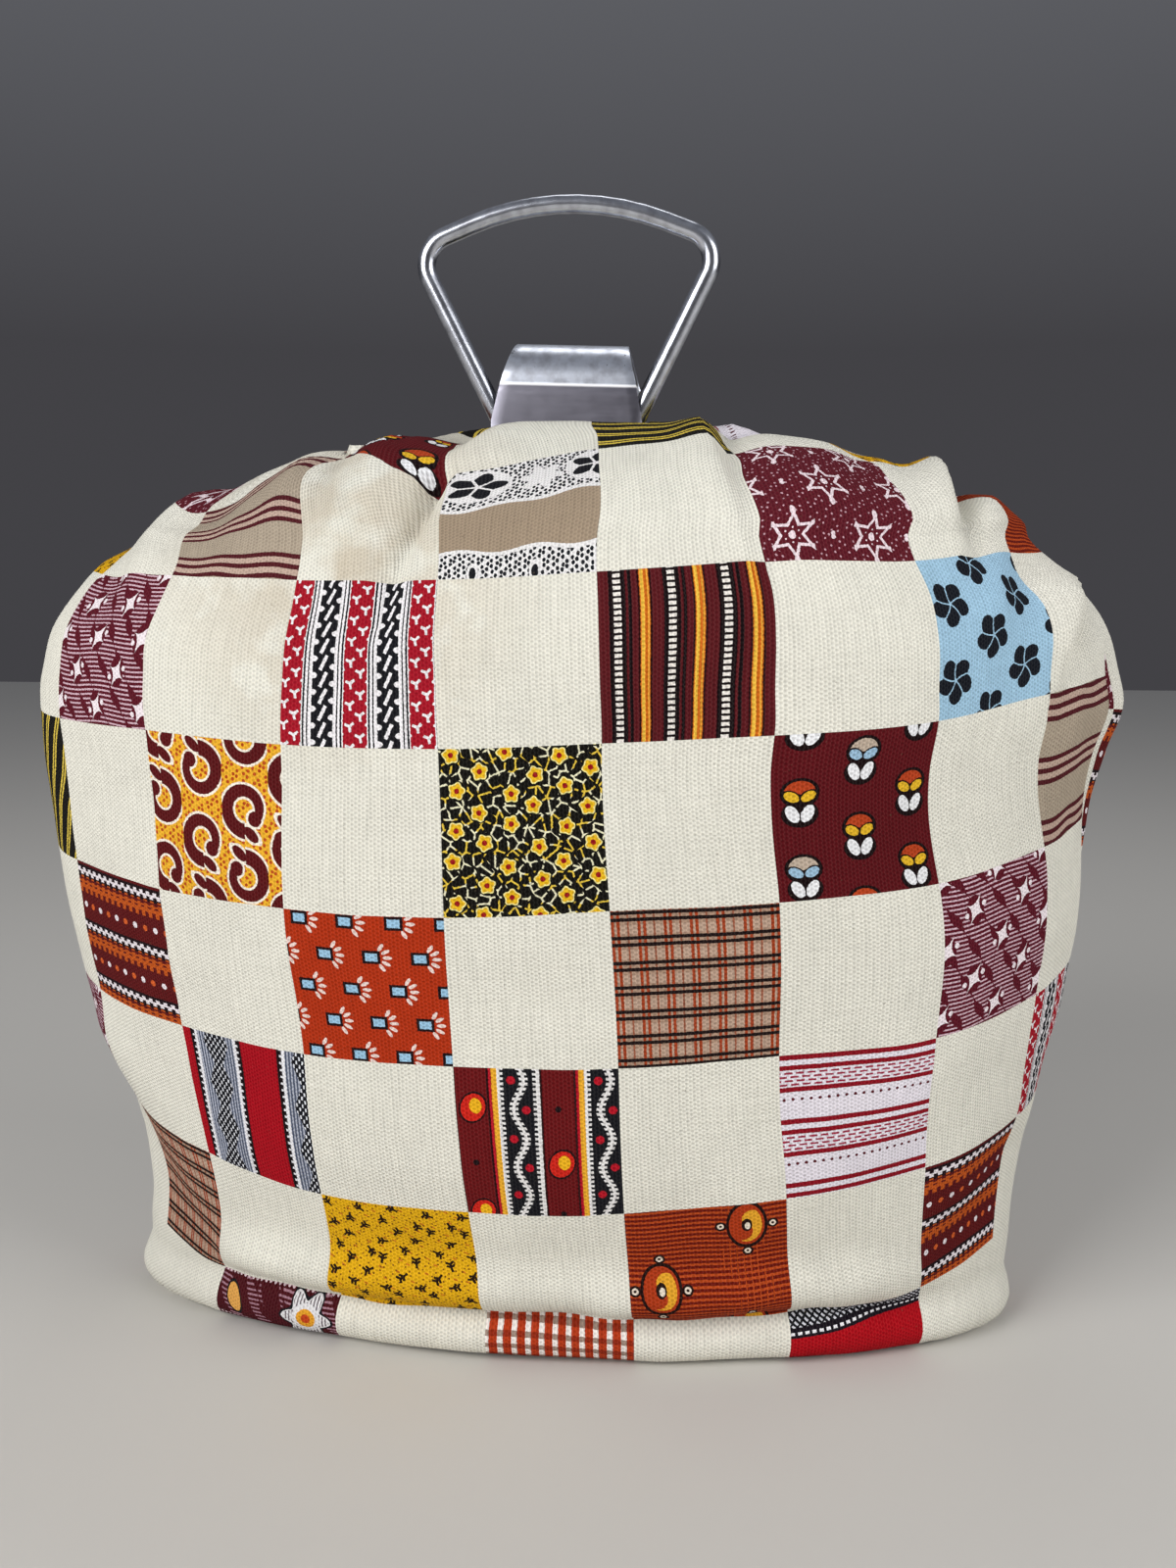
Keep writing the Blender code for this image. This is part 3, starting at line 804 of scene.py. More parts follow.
def seed_pods(x, y):
    near_x, near_y = repeat(x + 0.85, y + 4.15, 15.7, 20.5)
    column, row = repeat_number(x + 0.85, y + 4.15, 15.7, 20.5)
    aside = abs(near_x)
    upper = distance(aside / 4.4, (near_y - 2.7) / 3.6)
    lower = distance(aside / 4.2, (near_y + 2.9) / 3.3)
    leaf_x, leaf_y = turned(aside - 2.1, near_y - 1.7, 28)
    leaf = distance(leaf_x / 2.0, leaf_y / 1.25)
    seed_x, seed_y = turned(aside - 1.9, near_y + 2.9, 62)
    seed = distance(seed_x / 2.5, seed_y / 1.5)
    rare = (column * 2.0 + row) % 4.0 < 0.5
    cap = (upper < 0.9) & (near_y > 2.4)
    layers = [((upper < 1.12) | (lower < 1.12), "#160609"), (cap, "#B8421C"), (cap & rare, "#C0AE9C")]
    layers += [(leaf < 1.3, "#160609"), (leaf < 1.0, "#E9B92B"), ((leaf < 1.0) & rare, "#9DBFD8")]
    return "#5C0E16", layers + [(seed < 1.0, "#F1F1F3")]


def fans_and_blocks(x, y):
    near_y, near_x = repeat(y + 3.2, x - 11.3, 10.25, 13.4)
    block = (abs(near_x) < 1.7) & (abs(near_y) < 1.2)
    border = (abs(near_x) < 2.5) & (abs(near_y) < 2.0)
    fan_x = near_x - 0.8
    folded = from_line(turn_of(fan_x, near_y), 0.0, 0.5)
    radius = distance(fan_x, near_y)
    fingers = distance(folded * radius / 0.55, (radius - 3.7) / 1.3) < 1.0
    sector = abs(turn_of(fan_x, near_y)) < 1.26
    return "#B3320E", [(fingers & sector, "#F0D8CF"), (border, "#1E0C10"), (block, "#9CC6E2")]


def yellow_marks(x, y):
    near_x, near_y, wander = scattered(x, y, 5.1, 7.8, 0.8)
    spun_x, spun_y = spun(near_x, near_y, wander.cosine(), wander.sine())
    marks = arms(spun_x, spun_y, 3, 1.5, 0.38, 60) | arms(spun_x - 1.1, spun_y, 3, 1.5, 0.38, 60)
    dots = scattered_dots(x, y, 1.9, 2.1, 0.5, 0.28)
    dash_x, dash_y, _ = scattered(x + 1.0, y, 4.1, 5.0, 1.0)
    dashes = (abs(dash_x) < 0.6) & (abs(dash_y + dash_x * 0.4) < 0.3)
    return "#E6AF12", [(dashes, "#C9761A"), (dots, "#7A4A10"), (marks, "#241408")]


def medallions(x, y):
    ground, layers = orange_lines(x, y)
    near_x, near_y = repeat(x + 3.6, y + 2.2, 24.8, 40.0)
    oval = distance(near_x / 5.2, near_y / 7.4)
    direction = turn_of(near_x, near_y)
    swirl = (direction + oval * 2.4).sine() > 0.1
    rings = distance(abs(near_x) - 7.3, near_y) & distance(near_x, abs(near_y) - 9.5)
    layers += [((oval < 1.12) | (rings < 1.6), "#200B08"), (rings < 0.95, "#E9D9C6")]
    layers += [(rings < 0.4, "#200B08"), (oval < 0.96, "#B23A14")]
    layers += [(swirl & (oval < 0.82), "#EBA92C")]
    seed, shine = distance(near_x, near_y / 1.5), distance(near_x - 0.2, (near_y + 0.3) / 1.5)
    return ground, layers + [(seed < 1.5, "#24100C"), (shine < 0.8, "#F3E6D2")]


def dotted_flowers(x, y):
    edge = (x * 0.28).sine() * 0.8
    top, foot = y - 25.0 + edge, y - 8.6 - edge
    white = (top > 0.0) | (foot < 0.0)
    dot_x, dot_y, _ = scattered(x, y, 1.35, 1.75, 0.22)
    dots = (distance(dot_x, dot_y * 0.8) < 0.5) & ((top > 1.4) | (foot < -1.2))
    near_x, near_y = from_line(x, 8.0, 36.0), (y - 36.5) * 1.25
    radius = distance(near_x, near_y)
    petals = flower(near_x, near_y, 5, 8.4, 0.2)
    veins = abs((turn_of(near_x, near_y) * 2.5).cosine()) * radius < 1.0
    leaves = flower(from_line(x, 27.0, 36.0), (y - 35.5) * 1.2, 6, 7.4, 0.2, 0.2)
    seeds = distance(from_line(x, 10.0, 18.0), (y - 1.4) / 1.9)
    layers = [(white, "#EDEAE9"), (dots, "#1A1C22"), (leaves & white, "#EDEAE9")]
    layers += [((radius < 9.6) & white, "#EDEAE9"), (petals & ~veins & white, "#17181E")]
    return "#A3907A", layers + [(seeds < 1.7, "#EDEAE9"), (seeds < 1.0, "#17181E")]


print("small repeats are ready")

# %% [markdown]
# ## Inks, maps and uneven yarn
# Each cloth material needs three things. Inks are laid one over another through their masks.
# The cloth's own maps say where a place is: map cloth holds millimetres along and up the cut
# cloth, and map square holds millimetres in each printed square. And yarn, cloth and ink are
# uneven, which a noise read at such a place gives.

# %% Inks, maps and uneven yarn


def new_material(name):
    material = bpy.data.materials.new(name)
    material.use_nodes = True
    return material, material.node_tree, material.node_tree.nodes["Principled BSDF"]


def laid(tree, mask, under, over, blend="MIX"):
    """One colour laid over another: where the mask is 1, only the upper one shows."""
    settings = {"data_type": "RGBA", "blend_type": blend}
    return add(tree, "ShaderNodeMix", settings, {"Factor": mask, 6: under, 7: over}).outputs[2]


def cloth_map(tree, name):
    """The two numbers of one of the cloth's maps."""
    place = add(tree, "ShaderNodeUVMap", {"uv_map": name}, {}).outputs[0]
    parts = add(tree, "ShaderNodeSeparateXYZ", {}, {0: place})
    return Number(parts.outputs[0]), Number(parts.outputs[1])


def uneven(tree, along, up, detail):
    """Noise between 0 and 1, whose lumps are about 1 across in the two numbers given."""
    place = add(tree, "ShaderNodeCombineXYZ", {}, {0: along, 1: up})
    inputs = {"Vector": place.outputs[0], "Scale": 1.0, "Detail": detail}
    return Number(add(tree, "ShaderNodeTexNoise", {}, inputs).outputs[0])


print("inks, maps and uneven yarn are ready")

# %% [markdown]
# ## Ink on canvas
# The cloth is a warp-ribbed cotton canvas, a little like rep: matt, with almost no gloss. On
# the real cloth its ribs are 0.73 mm apart and its weft threads 0.38 mm. Both are drawn coarser
# here, so that they still show from a step away: as a bump, and as painted shade that darkens the
# colour in the valleys between the threads. Thick and thin threads make faint streaks both
# ways, and dark specks of seed husk are left in, as unbleached cotton is. Ink sinks into the
# threads, so a print's edges waver with them and its colour thins a little on their tops. The
# bare cloth has one faint brown stain left of the clip, as tea leaves, which also darkens the
# pleat there as painted shade.

# %% Canvas with a print on it
RIB, WEFT = 1.05, 0.62  # millimetres between ribs, and between weft threads
RIB_PAINTED_SHADE, THREAD_PAINTED_SHADE = 0.18, 0.21  # painted shade: how much lighter the tops are than the valleys
WARP_STREAKS, WEFT_STREAKS, CLOUDS = 0.20, 0.16, 0.14  # uneven yarn, and slow changes
PAINTED_SHADE_IN_VALLEYS = 0.745  # painted shade: share of the colour that is left in the valleys
WAVER_X, WAVER_Y = 0.5, 0.4  # millimetres by which the ink's edges waver
WORN_INK = 0.02  # ink missing on the threads' tops
HUSK_LEVEL, HUSK_COVER = 0.725, 0.5  # noise above the first is a speck that covers this much
STAIN_SHADE_X, STAIN_SHADE_Z, STAIN_SHADE_RADIUS, STAIN_SHADE_COVER = -0.055, 0.238, 0.060, 0.42  # in metres, and a share: a brown stain that also darkens the pleat as painted shade
WEAVE_DEPTH, WEAVE_STRENGTH = 0.0004, 0.8  # metres, and a share
CANVAS_ROUGHNESS, CANVAS_GLOSS = 0.9, 0.08  # raw cotton is matt, with almost no gloss


def stain_and_pleat_shade(tree):
    """How far the stain, which also darkens the pleat as painted shade, covers: blotted, strongest in its
    middle and gone at its radius.
    """
    place = add(tree, "ShaderNodeTexCoord", {}, {}).outputs["Object"]
    parts = add(tree, "ShaderNodeSeparateXYZ", {}, {0: place})
    across, high = Number(parts.outputs[0]), Number(parts.outputs[2])
    blot = uneven(tree, across * 60.0, high * 70.0, 3.0)
    near = ~(distance(across, high, STAIN_SHADE_X, STAIN_SHADE_Z) / STAIN_SHADE_RADIUS)
    return ((blot - 0.38) * 1.6) & (near * STAIN_SHADE_COVER)


def canvas_material(name, draw=None, stained_and_shaded=False):
    """Unbleached canvas (matt, rough cotton), bare or with a print laid on it."""
    material, tree, shader = new_material(name)
    along, up = cloth_map(tree, "cloth")
    rib = (along * (2 * math.pi / RIB)).cosine() * 0.5 + 0.5
    crossing = (up * (math.pi / WEFT) + (along / RIB).floor() * math.pi).cosine() * 0.5 + 0.5
    warp_streaks = uneven(tree, along / RIB, up * 0.07, 1.0) - 0.5  # a rib wide, 14 mm long
    weft_streaks = uneven(tree, along * 0.08 + 40.0, up / WEFT, 1.0) - 0.5  # 12 mm long
    cloud = uneven(tree, along * 0.04, up * 0.04 + 9.0, 3.0) - 0.5  # 25 mm across
    colour = CREAM
    if draw:
        waver = uneven(tree, along * 1.6, up * 1.6, 2.0) - 0.5  # about a thread across
        x, y = cloth_map(tree, "square")
        colour, layers = draw(x + waver * WAVER_X, y - waver * WAVER_Y)
        for mask, ink in layers:
            colour = laid(tree, mask, colour, ink)
        colour = laid(tree, rib * crossing * WORN_INK, colour, CREAM)

    # Painted shade: the colour darkens in the valleys between ribs and weft threads. The yarn streaks and
    # slow changes added to it are the cloth's own tone.
    painted_shade_and_yarn_tone = rib * RIB_PAINTED_SHADE + crossing * THREAD_PAINTED_SHADE
    painted_shade_and_yarn_tone = painted_shade_and_yarn_tone + warp_streaks * WARP_STREAKS + weft_streaks * WEFT_STREAKS
    painted_shade_and_yarn_tone = painted_shade_and_yarn_tone + cloud * CLOUDS + PAINTED_SHADE_IN_VALLEYS
    grey = add(tree, "ShaderNodeCombineColor", {}, {k: painted_shade_and_yarn_tone for k in range(3)})
    colour = laid(tree, 1.0, colour, grey.outputs[0], "MULTIPLY")
    husks = uneven(tree, along * 0.9, up * 1.1 + 70.0, 2.0) > HUSK_LEVEL  # 1 mm across
    colour = laid(tree, husks & HUSK_COVER, colour, "#5E5140")
    # A brown stain that also lays painted shade over the pleat left of the clip.
    if stained_and_shaded:
        colour = laid(tree, stain_and_pleat_shade(tree) | 0.0, colour, "#A98A5C")
    threads = rib * 0.6 + crossing * 0.6 + (warp_streaks + weft_streaks) * 0.7
    inputs = {"Height": threads, "Distance": WEAVE_DEPTH, "Strength": WEAVE_STRENGTH}
    relief = add(tree, "ShaderNodeBump", {}, inputs).outputs[0]
    set_inputs(shader, {"Roughness": CANVAS_ROUGHNESS, "Specular IOR Level": CANVAS_GLOSS})
    set_inputs(shader, {"Base Color": colour, "Normal": relief})
    return material


print("weave:", RIB, "by", WEFT, "mm")

# %% [markdown]
# ## One material for each print
# Every print gets its own material, and a face then takes the material of its square. One
# material that holds all the prints would be slower, and harder to change. The bare canvas
# comes first, so a face has it unless it is told otherwise. The inside comes last.

# %% Cloth materials
PRINTS = [
    triple_stripes, plaid, gingham, yellow_stripes, steep_stripes, orange_lines, ladder_stripes,
    chain_bands, hatched_bands, oval_bands, dash_rows, zigzag_bands, red_band, sparkle_hatch,
    daisy_hatch, stars_and_dots, pinwheels, scrolls, little_flowers, seed_pods, fans_and_blocks,
    yellow_marks, medallions, dotted_flowers,
]
cloth_materials = [canvas_material("canvas_bare", stained_and_shaded=True)]
cloth_materials += [canvas_material("canvas_" + draw.__name__, draw) for draw in PRINTS]
cloth_materials.append(canvas_material("canvas_inside"))
print("cloth materials:", len(cloth_materials))

# %% [markdown]
# ## Which print lies in which square
# Rows run down from the square above the ridge, and columns run to the right. A square that
# isn't named is bare canvas. The front follows the photo; the back goes on with the same
# prints in another order, because the cloth is cut from one length.

# %% Print plan
FRONT_PLAN = {
    # row: {column: print}
    -2: {1: fans_and_blocks, 3: yellow_marks, 5: sparkle_hatch},
    -1: {0: stars_and_dots, 2: seed_pods, 4: yellow_stripes, 6: yellow_marks},
    0: {-1: yellow_marks, 1: triple_stripes, 3: dotted_flowers, 5: stars_and_dots, 7: orange_lines},
    1: {
        -2: fans_and_blocks, 0: sparkle_hatch, 2: chain_bands, 4: ladder_stripes,
        6: pinwheels, 8: yellow_marks,
    },
    2: {-1: steep_stripes, 1: scrolls, 3: little_flowers, 5: seed_pods, 7: triple_stripes},
    3: {
        -2: fans_and_blocks, 0: zigzag_bands, 2: fans_and_blocks, 4: plaid,
        6: sparkle_hatch, 8: scrolls,
    },
    4: {-1: sparkle_hatch, 1: hatched_bands, 3: oval_bands, 5: dash_rows, 7: chain_bands},
    5: {0: plaid, 2: yellow_marks, 4: medallions, 6: zigzag_bands, 8: stars_and_dots},
    6: {1: daisy_hatch, 3: gingham, 5: red_band},
}
BACK_ORDER = [
    pinwheels, zigzag_bands, yellow_marks, plaid, ladder_stripes, sparkle_hatch,
    fans_and_blocks, dash_rows, scrolls, triple_stripes, little_flowers, oval_bands,
    stars_and_dots, medallions, chain_bands, gingham, seed_pods, yellow_stripes,
    hatched_bands,
]
PRINT_NUMBERS = {draw: number for number, draw in enumerate(PRINTS, start=1)}


def print_in(side, column, row):
    """The material's number for a square of the front or the back."""
    if side == "front":
        return PRINT_NUMBERS.get(FRONT_PLAN.get(row, {}).get(column), 0)
    if (column + row) % 2 == 0:
        return 0
    shuffled = (column * 5 + row * 3) % len(BACK_ORDER)  # like prints don't come side by side
    return PRINT_NUMBERS[BACK_ORDER[shuffled]]


print("prints:", len(PRINTS))

# %% [markdown]
# ## One half's sheet
# A half is one cut of printed cloth. It starts as a flat grid whose lines fall on the edges of
# the printed squares, so that no face holds two prints. It is first laid out unrolled, angle
# against height, where the side seams and the lower edge are straight and planes can cut it.

# %% Printed sheet
QUADS = 18  # grid faces along one printed square
FIRST_COLUMN, LAST_COLUMN = -2, 10
FIRST_ROW, LAST_ROW = -2, 7
UNROLLED = 100.0  # millimetres of height in one unit, so that it is close to a radian's length
TOP_CUT = 279.95  # just under the dome's top, where the two halves meet


def cut(bm, place, direction, faces=None, clear=False):
    """Cuts faces along a plane, all of them unless some are given, and can clear one side."""
    faces = faces if faces is not None else bm.faces[:]
    edges = {edge for face in faces for edge in face.edges}
    verts = {vert for face in faces for vert in face.verts}
    geometry = list(verts) + list(edges) + list(faces)
    bmesh.ops.bisect_plane(
        bm, geom=geometry, dist=1e-7, plane_co=place, plane_no=direction, clear_outer=clear
    )


def printed_sheet(side):
    """The unrolled half, cut to the seams and the lower edge, with both maps and its prints."""
    columns, rows = LAST_COLUMN - FIRST_COLUMN, LAST_ROW - FIRST_ROW
    bm = bmesh.new()
    bmesh.ops.create_grid(bm, x_segments=columns * QUADS, y_segments=rows * QUADS, size=0.5)
    cloth = bm.loops.layers.uv.new("cloth")
    square = bm.loops.layers.uv.new("square")
    for vert in bm.verts:
        column = FIRST_COLUMN + (vert.co.x + 0.5) * columns
        row = LAST_ROW - (vert.co.y + 0.5) * rows
        for loop in vert.link_loops:
            loop[cloth].uv = (column * SQUARE, -row * SQUARE)
        angle, height = unrolled(column, row)
        vert.co = (angle, height / UNROLLED, 0.0)
    for side_seam in (1, -1):
        cut(bm, (side_seam * math.pi / 2, 0, 0), (side_seam, 0, 0), clear=True)
    cut(bm, (0, 0, 0), (0, -1, 0), clear=True)
    cut(bm, (0, TOP_CUT / UNROLLED, 0), (0, 1, 0), clear=True)
    for face in bm.faces:
        middle = sum((loop[cloth].uv for loop in face.loops), Vector((0, 0))) / len(face.loops)
        column, row = math.floor(middle.x / SQUARE), math.floor(-middle.y / SQUARE)
        face.material_index = print_in(side, column, row)
        for loop in face.loops:
            place = loop[cloth].uv
            loop[square].uv = (place.x - column * SQUARE, place.y + (row + 1) * SQUARE)
    return bm


print("grid faces:", (LAST_COLUMN - FIRST_COLUMN) * (LAST_ROW - FIRST_ROW) * QUADS**2)

# %% [markdown]
# ## The slot in the top
# The clip comes out through a slot in the top seam, half of it in each half of the cover.
# Planes cut the roof's faces along the slot's sides, so its edges are clean, and the faces
# inside it are deleted.

# %% Slot
SLOT_MIDDLE, SLOT_HALF_WIDTH, SLOT_HALF_DEPTH = 1.0, 24.4, 14.3  # millimetres
ROOF = 262.0  # only cloth above this height is cut


def roof_faces(bm):
    return [face for face in bm.faces if face.calc_center_median().z > ROOF * MM]


def cut_slot(bm, side):
    left, right = SLOT_MIDDLE - SLOT_HALF_WIDTH, SLOT_MIDDLE + SLOT_HALF_WIDTH
    deep = -SLOT_HALF_DEPTH if side == "front" else SLOT_HALF_DEPTH
    cut(bm, Vector((left, 0, 0)) * MM, (1, 0, 0), roof_faces(bm))
    cut(bm, Vector((right, 0, 0)) * MM, (1, 0, 0), roof_faces(bm))
    cut(bm, Vector((0, deep, 0)) * MM, (0, 1, 0), roof_faces(bm))
    in_slot = []
    for face in roof_faces(bm):
        x, y, _ = face.calc_center_median() / MM
        if left < x < right and abs(y) < SLOT_HALF_DEPTH:
            in_slot.append(face)
    bmesh.ops.delete(bm, geom=in_slot, context="FACES")


print("slot:", 2 * SLOT_HALF_WIDTH, "by", 2 * SLOT_HALF_DEPTH, "mm")

# %% [markdown]
# ## The two halves
# Every point of a sheet moves to its place on the dome, the slot is cut out, and a Solidify
# modifier gives the sheet the thickness of canvas and wadding. The wall is thinner at the top,
# where the wadding ends and only the turned-in cloth is left round the slot. Its inside is bare
# canvas: the material's number is offset past the end, and Blender then takes the last one.

# %% Cover halves
WALL = 7.0  # millimetres
TOP_THINNED, THIN_FROM, THIN_OVER = 0.7, 248.0, 26.0  # share taken off, and the heights
SEAM_GAP = 0.15  # half of the gap between the two halves
INSIDE_SEAM = 0.99999  # keeps the seam's points on their own half's side


def new_piece(name, bm, materials):
    """A smooth-shaded object from a finished bmesh."""
    mesh = bpy.data.meshes.new(name)
    bm.to_mesh(mesh)
    bm.free()
    mesh.polygons.foreach_set("use_smooth", [True] * len(mesh.polygons))
    for material in materials:
        mesh.materials.append(material)
    return placed(name, mesh)


def cover_half(name, side):
    bm = printed_sheet(side)
    turn, away = (0.0, -SEAM_GAP) if side == "front" else (math.pi, SEAM_GAP)
    for vert in bm.verts:
        place = cloth_point(vert.co.x * INSIDE_SEAM + turn, vert.co.y * UNROLLED)
        vert.co = Vector((place.x, place.y + away, place.z)) * MM
    cut_slot(bm, side)
    bmesh.ops.recalc_face_normals(bm, faces=bm.faces)
    half = new_piece(name, bm, cloth_materials)
    thickness = half.vertex_groups.new(name="thickness")
    for vert in half.data.vertices:
        thinned = TOP_THINNED * smooth_step((vert.co.z / MM - THIN_FROM) / THIN_OVER)
        thickness.add([vert.index], 1.0 - thinned, "REPLACE")
    wall = half.modifiers.new("wall", "SOLIDIFY")
    wall.thickness = WALL * MM
    wall.offset = -1.0  # the thickness goes inwards
    wall.vertex_group = "thickness"
    wall.thickness_vertex_group = 0.0
    wall.material_offset = len(cloth_materials)
    wall.material_offset_rim = 0
    return half


cover_front = cover_half("cover_front", "front")
cover_back = cover_half("cover_back", "back")
for cover, solid in ((cover_front, "panel_front"), (cover_back, "panel_back")):
    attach(cover, "root")
    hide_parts(solid)
    print(cover.name, "faces:", len(cover.data.polygons))

# %% [markdown]
# ## Steel
# Both metal pieces are plain steel: sheet that was rolled, and wire that was drawn, and both
# were handled since. Steel mirrors the room, so its roughness is what the eye reads: satin on
# the sheet and brighter on the wire. Fine scratches run one way, because a noise is stretched
# along it, and fingers leave smears that dull it. The sheet also has a few dark spots, a painted
# highlight as a white line along its bend, and painted shade that darkens the leg below that
# line. Metals keep the default IOR.

# %% Steel
CLIP_LEAN = math.radians(2.0)  # the clip leans a little to the side
CREASE_HEIGHT = 0.2896  # metres, where the bend turns into the flat leg
SHEET_SCRATCHES = (60, 1100, 1100)  # per metre: 0.9 mm wide, and 17 mm long along the bend
WIRE_SCRATCHES = (300, 300, 40)  # per metre: 3 mm wide, and 25 mm long up the arms
SMEAR_SCALE, SPOT_SCALE = 260.0, 420.0  # per metre: smears about 4 mm across, spots 2 mm
SPOT_LEVEL, SPOT_COVER = 0.69, 0.55  # noise above the first is a spot that covers this much
HIGHLIGHT_LINE_WIDTH = 1 / 1500  # metres on each side of the painted highlight line
HIGHLIGHT_LINE_ROUGHNESS = 0.35  # the painted highlight line is made that much rougher
SCRATCH_DEPTH = 0.00004  # metres, where the grain is 1


def patches(tree, place, per_metre):
    """Uneven patches between 0 and 1, so many to a metre of steel."""
    inputs = {"Vector": place, "Scale": per_metre, "Detail": 3.0}
    return Number(add(tree, "ShaderNodeTexNoise", {}, inputs).outputs[0])


def spots_and_painted_bend_light(tree, place, crease, tone, rough):
    """The sheet's spots, painted shade on the leg below the bend, and a painted highlight line between
    them.
    """
    tone = laid(tree, (patches(tree, place, SPOT_SCALE) > SPOT_LEVEL) & SPOT_COVER, tone, "#3E3A38")
    parts = add(tree, "ShaderNodeSeparateXYZ", {}, {0: place})
    across, high = Number(parts.outputs[0]), Number(parts.outputs[2])
    below = (high + across * math.tan(CLIP_LEAN)) * -1.0 + crease
    # Painted shade: the leg below the bend is darkened, standing for the dim room it mirrors.
    tone = laid(tree, below > 0.0, tone, "#84828C")
    # Painted highlight: a white line along the bend.
    painted_highlight_line = ~abs(below * (1 / HIGHLIGHT_LINE_WIDTH)) | 0.0
    return laid(tree, painted_highlight_line, tone, "#FFFFFF"), rough + painted_highlight_line * HIGHLIGHT_LINE_ROUGHNESS


def steel_material(name, roughness, grain, scratch_stretch, colour, crease=None):
    """Steel with scratches stretched one way, smears, and a painted highlight and shade at a bend's
    height if given.
    """
    material, tree, shader = new_material(name)
    place = add(tree, "ShaderNodeTexCoord", {}, {}).outputs["Object"]
    stretched = add(tree, "ShaderNodeMapping", {}, {"Vector": place, "Scale": scratch_stretch})
    inputs = {"Vector": stretched.outputs[0], "Scale": 1.0, "Detail": 4.0, "Roughness": 0.7}
    scratches = Number(add(tree, "ShaderNodeTexNoise", {}, inputs).outputs[0])
    smears = patches(tree, place, SMEAR_SCALE)
    rough = (scratches + smears - 1.0) * grain + roughness
    dulled = (smears * 1.8 - 0.75) & 0.5
    tone = laid(tree, dulled | 0.0, colour, "#77757C")
    if crease:
        tone, rough = spots_and_painted_bend_light(tree, place, crease, tone, rough)
    inputs = {"Height": scratches, "Distance": SCRATCH_DEPTH * grain, "Strength": 1.0}
    relief = add(tree, "ShaderNodeBump", {}, inputs).outputs[0]
    set_inputs(shader, {"Metallic": 1.0, "Base Color": tone, "Roughness": rough, "Normal": relief})
    return material


satin_steel = steel_material(
    "steel_sheet_satin", 0.34, 0.10, SHEET_SCRATCHES, "#E0E5F0", CREASE_HEIGHT
)
drawn_wire = steel_material("steel_wire_drawn", 0.26, 0.015, WIRE_SCRATCHES, "#C6C9D2")
print("steels:", satin_steel.name, drawn_wire.name)

# %% [markdown]
# ## The steel clip
# The clip is one strip of sheet steel, bent over at the top like an upside-down U. Its edges
# are cut at a slant, so it widens towards the cloth, and its two feet spread under it. A narrow
# grid follows the strip's line in section, gets the sheet's thickness, and a small bevel breaks
# its sharp edges. The strip leans 2 degrees to the side, about a place in the slot.

# %% Clip
STRIP_THICK = 1.6  # millimetres, as all below
STRIP_ROLL = 12.6  # radius of the bend, outside
STRIP_TOP, STRIP_TOP_WIDTH = 302.5, 33.6  # height and width at the top of the bend
STEEL_X = 1.0  # the steel pieces stand this far right of the middle
CLIP_PIVOT = Vector((STEEL_X, 0.0, 280.0))  # it leans about this place, in the slot
STRIP_LEG = [
    # depth, height, width, on the strip's outer face
    (12.6, 289.9, 40.5),
    (12.9, 289.3, 40.7),
    (13.2, 286.5, 41.8),
    (13.7, 279.0, 45.0),
    (14.0, 268.0, 45.0),
    (16.0, 262.5, 45.0),
    (21.5, 258.5, 45.0),
    (31.0, 253.5, 45.0),
]
ROLL_STEPS, STEPS_ACROSS = 28, 12
EDGE_BREAK = 0.3


def strip_profile():
    """The strip's line from the front foot over the bend to the back foot."""
    roll = []
    for k in range(1, ROLL_STEPS):
        turn = k * math.pi / ROLL_STEPS
        width = STRIP_TOP_WIDTH + (STRIP_LEG[0][2] - STRIP_TOP_WIDTH) * (1.0 - math.sin(turn))
        height = STRIP_TOP - STRIP_ROLL + STRIP_ROLL * math.sin(turn)
        roll.append((-STRIP_ROLL * math.cos(turn), height, width))
    front = [(-depth, height, width) for depth, height, width in reversed(STRIP_LEG)]
    return front + roll + STRIP_LEG


profile = strip_profile()
bm = bmesh.new()
bmesh.ops.create_grid(bm, x_segments=STEPS_ACROSS, y_segments=len(profile) - 1, size=0.5)
for vert in bm.verts:
    depth, height, width = profile[round((vert.co.y + 0.5) * (len(profile) - 1))]
    leaned = spun(vert.co.x * width, height - CLIP_PIVOT.z, math.cos(CLIP_LEAN), math.sin(CLIP_LEAN))
    vert.co = (CLIP_PIVOT + Vector((leaned[0], depth, leaned[1]))) * MM
bmesh.ops.solidify(bm, geom=bm.faces[:], thickness=STRIP_THICK * MM)
bmesh.ops.recalc_face_normals(bm, faces=bm.faces)
clip_strip = new_piece("clip_strip", bm, [satin_steel])
edge = clip_strip.modifiers.new("broken_edge", "BEVEL")
edge.width = EDGE_BREAK * MM
edge.segments = 2
edge.limit_method = "ANGLE"
edge.angle_limit = math.radians(60)
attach(clip_strip, "root")
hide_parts("steel_clip")
low, high = Vector(clip_strip.bound_box[0]), Vector(clip_strip.bound_box[6])
print("clip:", [round(v / MM, 1) for v in (high - low)])

# %% [markdown]
# ## The wire handle
# The handle is one round wire bent into a closed loop: a gently arched grip, two close bends
# and two straight arms that run down inside the clip's bend, behind its front leg. Its
# centreline is a polygon whose corners are rounded with arcs, swept as a curve of the wire's
# radius and then made a mesh.

# %% Handle
WIRE_RADIUS = 2.75  # millimetres, as all below
WIRE_PLAY = 0.3  # gap between the wire and the sheet
LEG_DEPTH = 14.0  # depth of the clip's outer face where the wire passes it
WIRE_CORNERS = [
    # x, z, corner_radius
    (13.6, 266.0, 5.0),
    (45.5, 329.3, 9.0),
    (0.0, 347.0, 79.0),
    (-45.5, 329.3, 9.0),
    (-13.6, 266.0, 5.0),
]


